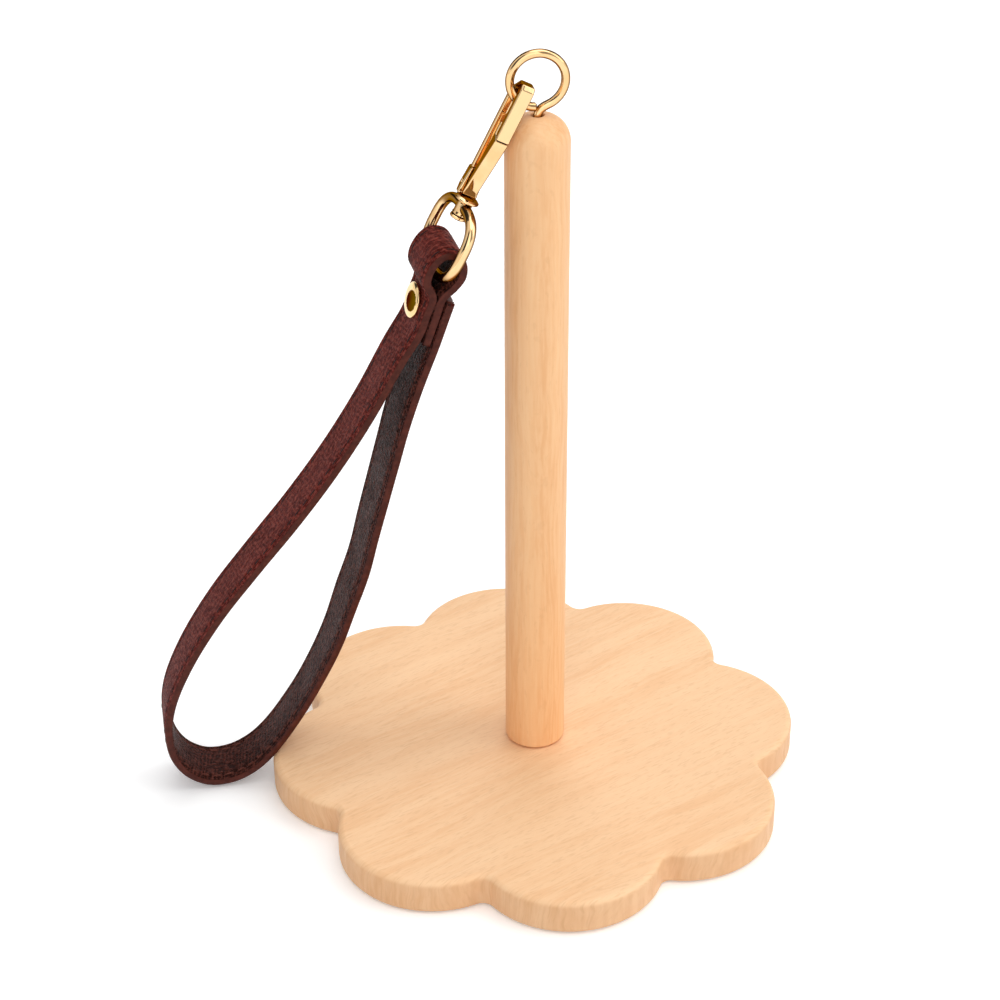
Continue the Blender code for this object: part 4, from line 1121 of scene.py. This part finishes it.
def on_strap(run, across, lift):
    """A world point: run along the strap, across its width, and lifted to its outer face."""
    spot = run / strap_step
    index = min(max(int(spot), 0), len(strap_places) - 2)
    share = spot - index
    place = strap_places[index] + (strap_places[index + 1] - strap_places[index]) * share
    near = min(max(share, 0.0), 1.0)
    way = strap_ways[index].lerp(strap_ways[index + 1], near).normalized()
    place = place + Vector((-way[1], way[0])) * lift
    share = min(max(1.0 + place[1] / strap_drop, 0.0), 1.0)
    down = 1.0 - share
    lean = strap_twist * share * share * across
    lean -= limb_shift * rise(down, *limb_shift_from) * (1.0 - rise(down, *limb_shift_to))
    if run > strap_length / 2:
        twist = right_limb_twist * rise(down, *right_limb_twist_from)
        lean += twist * (1.0 - rise(down, *right_limb_twist_to)) * (across + strap_half)
    return strap @ Vector((place[0] + lean, place[1], across - strap_toward_front))


def face_shape(across):
    """How high the face stands at a distance from the middle of the band."""
    from_edge = strap_half - abs(across)
    high = strap_half_thickness + face_crown * (1.0 - (across / strap_half) ** 2) - face_crown
    for centre, deep, wide in ((crease_from_edge, crease_depth, crease_half_width),
                               (stitch_from_edge, stitch_channel_depth, stitch_channel_half_width)):
        off = abs(from_edge - centre) / wide
        if off < 1.0:
            high -= deep * 0.5 * (1.0 + math.cos(math.pi * off))
    if from_edge < face_rim_width:
        high -= face_rim_drop * (1.0 - math.sqrt(max(1.0 - (1.0 - from_edge / face_rim_width) ** 2, 0.0)))
    return high


def make_ply(name, side_sign, material, slot, stands_for):
    """One leather of the strap, its face worked with a crease and a stitching channel."""
    left = [-strap_half + value * mm for value in face_edge_samples]
    samples = left + spread(left[-1], -left[-1], face_middle_steps)[1:-1]
    samples += [-value for value in reversed(left)]
    inner = side_sign * ply_from_middle
    section = [(across, side_sign * face_shape(across)) for across in samples]
    section += [(strap_half, inner), (-strap_half, inner)]
    flats = samples + [strap_half + side_flat]
    spans = list(zip(flats, flats[1:]))
    spans += [(strap_half + side_flat, strap_half + side_flat + strap_width),
              (-strap_half - side_flat, -strap_half - 2 * side_flat - strap_width)]
    work = bmesh.new()
    lie = work.loops.layers.uv.new(uv_name)
    last = len(strap_places) - 1
    rows = [[work.verts.new(on_strap(number * strap_step, across, lift)) for across, lift in section]
            for number in range(last + 1)]
    skinned(work, rows, flat=lambda row, index, ahead: (row * strap_step, spans[index][ahead]))
    for number in (0, last):
        face = work.faces.new(rows[number])
        face.smooth = False
        for loop, (across, lift) in zip(face.loops, section):
            loop[lie].uv = (number * strap_step + lift, across)
    bmesh.ops.recalc_face_normals(work, faces=work.faces)
    ob = built(name, work)
    ob.data.set_sharp_from_angle(angle=ply_sharp_angle)
    finished(ob, name, "strap", slot, material, stands_for)


def rim_route():
    """Places round the strap's rim, each with its way out; the second half is the first half turned."""
    corner = edge_bead_corner
    flat = strap_half - corner
    end = strap_length - corner
    skipped = math.ceil(corner / strap_step)
    bends = [(math.sin(angle), math.cos(angle)) for angle in spread(0.0, math.pi / 2, rim_corner_steps)]
    route = [(number * strap_step, strap_half, 0.0, 1.0)
             for number in range(skipped, len(strap_places) - skipped)]
    route += [(end + corner * sine, flat + corner * cosine, sine, cosine) for sine, cosine in bends]
    route += [(strap_length, across, 1.0, 0.0) for across in spread(flat, -flat, rim_end_steps)[1:-1]]
    route += [(end + corner * cosine, -flat - corner * sine, cosine, -sine) for sine, cosine in bends]
    return route + [(strap_length - run, -across, -out_run, -out_across)
                    for run, across, out_run, out_across in route]


def make_edge_paint():
    """Rounded painted rim that runs round the whole strap and covers both leathers' cut edges."""
    root_out, root_up = edge_bead_root
    section = [(-root_out, -root_up)]
    for angle in spread(-math.pi / 2, math.pi / 2, edge_bead_steps):
        section.append((edge_bead_bulge * math.cos(angle), edge_bead_half_height * math.sin(angle)))
    section.append((-root_out, root_up))
    work = bmesh.new()
    rows = []
    for run, across, out_run, out_across in rim_route():
        clear = rise((on_strap(run, 0.0, 0.0) - bar_centre).length, *edge_bead_full_from)
        swell = edge_bead_at_ring + (1.0 - edge_bead_at_ring) * clear
        row = []
        for out, lift in section:
            beyond = out_across * max(out * swell, min(out, 0.0))
            row.append(work.verts.new(on_strap(run + out_run * out, across + beyond, lift)))
        rows.append(row)
    skinned(work, rows, closed=True)
    bmesh.ops.recalc_face_normals(work, faces=work.faces)
    finished(built("edge_paint", work), "strap_edge_paint", "strap", "leather", edge_paint)


def make_stitches(name, side_sign, material, slot):
    """Two rows of saddle stitches on one face, each stitch a short thread that dives in at its ends."""
    work = bmesh.new()
    work.loops.layers.uv.new(uv_name)
    around = math.tau * stitch_radius / stitch_rounds
    count = int((strap_length - 2 * stitch_margin) / stitch_pitch)
    for row_sign in (-1, 1):
        middle = row_sign * (strap_half - stitch_from_edge)
        base = face_shape(middle) + stitch_proud
        for number in range(count):
            start = stitch_margin + number * stitch_pitch
            runs = [start + stitch_length * share for share, _, _ in stitch_shape]
            rings = []
            for run, (share, thick, drop) in zip(runs, stitch_shape):
                lean = row_sign * side_sign * stitch_lean * (share - 0.5)
                ring = []
                for turn in range(stitch_rounds):
                    angle = math.tau * turn / stitch_rounds
                    across = middle + lean + stitch_radius * thick * math.cos(angle)
                    lift = base + drop * mm + stitch_radius * stitch_flatness * thick * math.sin(angle)
                    ring.append(work.verts.new(on_strap(run, across, side_sign * lift)))
                rings.append(ring)
            skinned(work, rings, flat=lambda row, index, ahead: (runs[row], (index + ahead) * around))
            work.faces.new(list(reversed(rings[0])))
            work.faces.new(rings[-1])
    bmesh.ops.recalc_face_normals(work, faces=work.faces)
    finished(built(name, work), name, "strap", slot, material)


# Rivet through the sandwich
def across_sandwich():
    middle = in_sandwich(rivet_along, 0.0)
    share = 1.0 + middle[1] / strap_drop
    way = Vector((lay_out[0], lay_out[1], -strap_twist * share * share * lay_out[0])).normalized()
    turn = way.to_track_quat("Z", "Y").to_matrix().to_4x4()
    return strap @ Matrix.Translation((middle[0], middle[1], 0.0)) @ turn


def make_cap():
    """The domed cap, whose middle, set a little to one side, carries a painted dark reflection as a material
    of its own.
    """
    under = stack_half + leather_to_metal_gap
    rim = under + cap_rim
    profile = []
    for angle in spread(0.0, math.pi / 2, cap_dome_steps):
        profile.append((cap_radius * math.sin(angle),
                        rim + (cap_height - cap_rim) * math.cos(angle) ** cap_dome_power))
    profile += [(cap_radius - cap_lip, under + cap_edge), (cap_radius - cap_edge, under),
                (cap_socket_radius, under), (cap_socket_radius, under + cap_socket_depth),
                (0.0, under + cap_socket_depth)]
    place = across_sandwich()
    cap = moved(turned("domed_cap", profile, cap_turn_steps), place)
    axis = (place.to_3x3() @ Vector((0.0, 0.0, 1.0))).normalized()
    aside = Vector(cap_dark_way)
    aside = (aside - axis * aside.dot(axis)).normalized()
    middle = place @ Vector((0.0, 0.0, under + cap_height)) + aside * cap_dark_shift
    cap = finished(smooth(cap), "domed_cap", "strap", "gold", cap_gold, "rivet_cap")
    cap.data.materials.append(cap_painted_reflection)
    # Faces near the shifted middle that face along the axis take the painted dark reflection.
    for face in cap.data.polygons:
        away = face.center - middle
        near = (away - axis * away.dot(axis)).length < cap_dark_radius
        face.material_index = int(near and face.normal.dot(axis) > cap_dark_facing)


def make_back():
    face = -stack_half - leather_to_metal_gap
    top = stack_half + leather_to_metal_gap + cap_socket_depth - strap_post_end_gap
    profile = [(0.0, top), (strap_post_radius - strap_post_edge, top),
               (strap_post_radius, top - strap_post_edge), (strap_post_radius, face),
               (back_radius - back_edge, face), (back_radius, face - back_rim)]
    profile += dome(back_radius, face - back_rim, back_rim - back_height, back_dome_steps)
    back = moved(turned("rivet_foot", profile), across_sandwich())
    finished(smooth(back), "rivet_foot", "strap", "gold", gold, "rivet_back")


make_board()
make_post()
make_eye()
make_hook()
make_gate()
make_swivel_rivet()
make_ring()
make_ply("outer_leather_band", 1, outer_leather, "leather", "strap_outer")
make_ply("lining_leather_band", -1, inner_leather, "lining", "strap_lining")
make_edge_paint()
make_stitches("outer_stitches", 1, outer_thread, "leather")
make_stitches("lining_stitches", -1, inner_thread, "lining")
make_cap()
make_back()

# Solids that stay, with a worked finish
for name, finish in (("hanger_bolt", steel), ("gate_pin", steel), ("gate_spring", steel),
                     ("threaded_insert", brass)):
    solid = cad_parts[name]
    for index in range(max(len(solid.material_slots), 1)):
        if solid.material_slots:
            solid.material_slots[index].material = finish
        else:
            solid.data.materials.append(finish)


# Floor, world, lamps and camera
def make_floor():
    work = bmesh.new()
    bmesh.ops.create_circle(work, cap_ends=True, segments=floor_segments, radius=floor_radius)
    ob = moved(built("floor", work), Matrix.Translation((0.0, 0.0, -floor_drop)))
    tree = Tree(bpy.data.materials.new("pale_floor"))
    path = tree.nodes.new("ShaderNodeLightPath").outputs
    seen = tree.calc("MAXIMUM", path["Is Camera Ray"], path["Is Glossy Ray"])
    seen = tree.calc("MAXIMUM", seen, path["Is Transmission Ray"])
    bounce = tree.mixed(tree.noise(tree.place(), 9.0, 3.0), (0.80, 0.80, 0.80, 1.0), (0.82, 0.82, 0.82, 1.0))
    ob.data.materials.append(tree.paint({
        "Base Color": tree.mixed(seen, bounce, white),
        "Roughness": 1.0,
        "Specular IOR Level": 0.0,
        "Emission Color": tree.mixed(seen, (0.0, 0.0, 0.0, 1.0), white),
        "Emission Strength": floor_glow}))


def make_world():
    """Studio sky: a lit top, upright light boxes round the sides and a plain white horizon."""
    world = bpy.data.worlds.new("studio")
    bpy.context.scene.world = world
    tree = Tree(world, "ShaderNodeBackground", "ShaderNodeOutputWorld")
    split = tree.split(tree.place("Generated"))
    high = split["Z"]
    round_about = tree.calc("ARCTAN2", split["Y"], split["X"])
    boxes = tree.calc("COSINE", tree.calc("MULTIPLY", round_about, box_count))
    boxes = tree.between(boxes, -0.30, -0.05, world_gap, world_box)
    side = tree.calc("ADD", 1.0, tree.calc("MULTIPLY", split["X"], world_side_share))
    boxes = tree.calc("MULTIPLY", boxes, side)
    top = tree.between(high, 0.84, 0.90)
    upper = tree.faded(top, boxes, world_overhead)
    tree.paint({
        "Color": tree.mixed(tree.between(high, 0.0, 0.8), white, (0.97, 0.985, 1.0, 1.0)),
        "Strength": tree.faded(tree.between(high, 0.15, 0.21), 1.0, upper)})


def make_sun(name, way, strength, angle, colour):
    lamp = bpy.data.lights.new(name, "SUN")
    lamp.energy = strength
    lamp.angle = math.radians(angle)
    lamp.color = colour
    ob = bpy.data.objects.new(name, lamp)
    bpy.context.scene.collection.objects.link(ob)
    ob.rotation_euler = Vector(way).to_track_quat("-Z", "Y").to_euler()


def make_camera():
    lens = bpy.data.cameras.new("camera")
    lens.lens = camera_lens
    lens.sensor_width = camera_sensor
    lens.sensor_fit = "HORIZONTAL"
    lens.clip_start, lens.clip_end = camera_clip
    ob = bpy.data.objects.new("camera", lens)
    bpy.context.scene.collection.objects.link(ob)
    level = math.cos(camera_pitch)
    ahead = Vector((math.sin(camera_yaw) * level, math.cos(camera_yaw) * level, -math.sin(camera_pitch)))
    right = Vector((math.cos(camera_yaw), -math.sin(camera_yaw), 0.0))
    up = right.cross(ahead)
    cosine = math.cos(camera_roll)
    sine = math.sin(camera_roll)
    turn = Matrix((right * cosine + up * sine, up * cosine - right * sine, -ahead)).transposed().to_4x4()
    ob.matrix_world = Matrix.Translation(camera_place) @ turn
    bpy.context.scene.camera = ob


make_floor()
make_world()
make_sun("key", (-0.20, -0.10, -0.97), 0.74, 50.0, (1.0, 0.99, 0.97))
make_sun("fill", (-0.40, 0.85, -0.35), 0.42, 90.0, (1.0, 0.985, 0.96))
make_camera()
bpy.context.scene.view_settings.view_transform = "Standard"

bpy.context.view_layer.update()
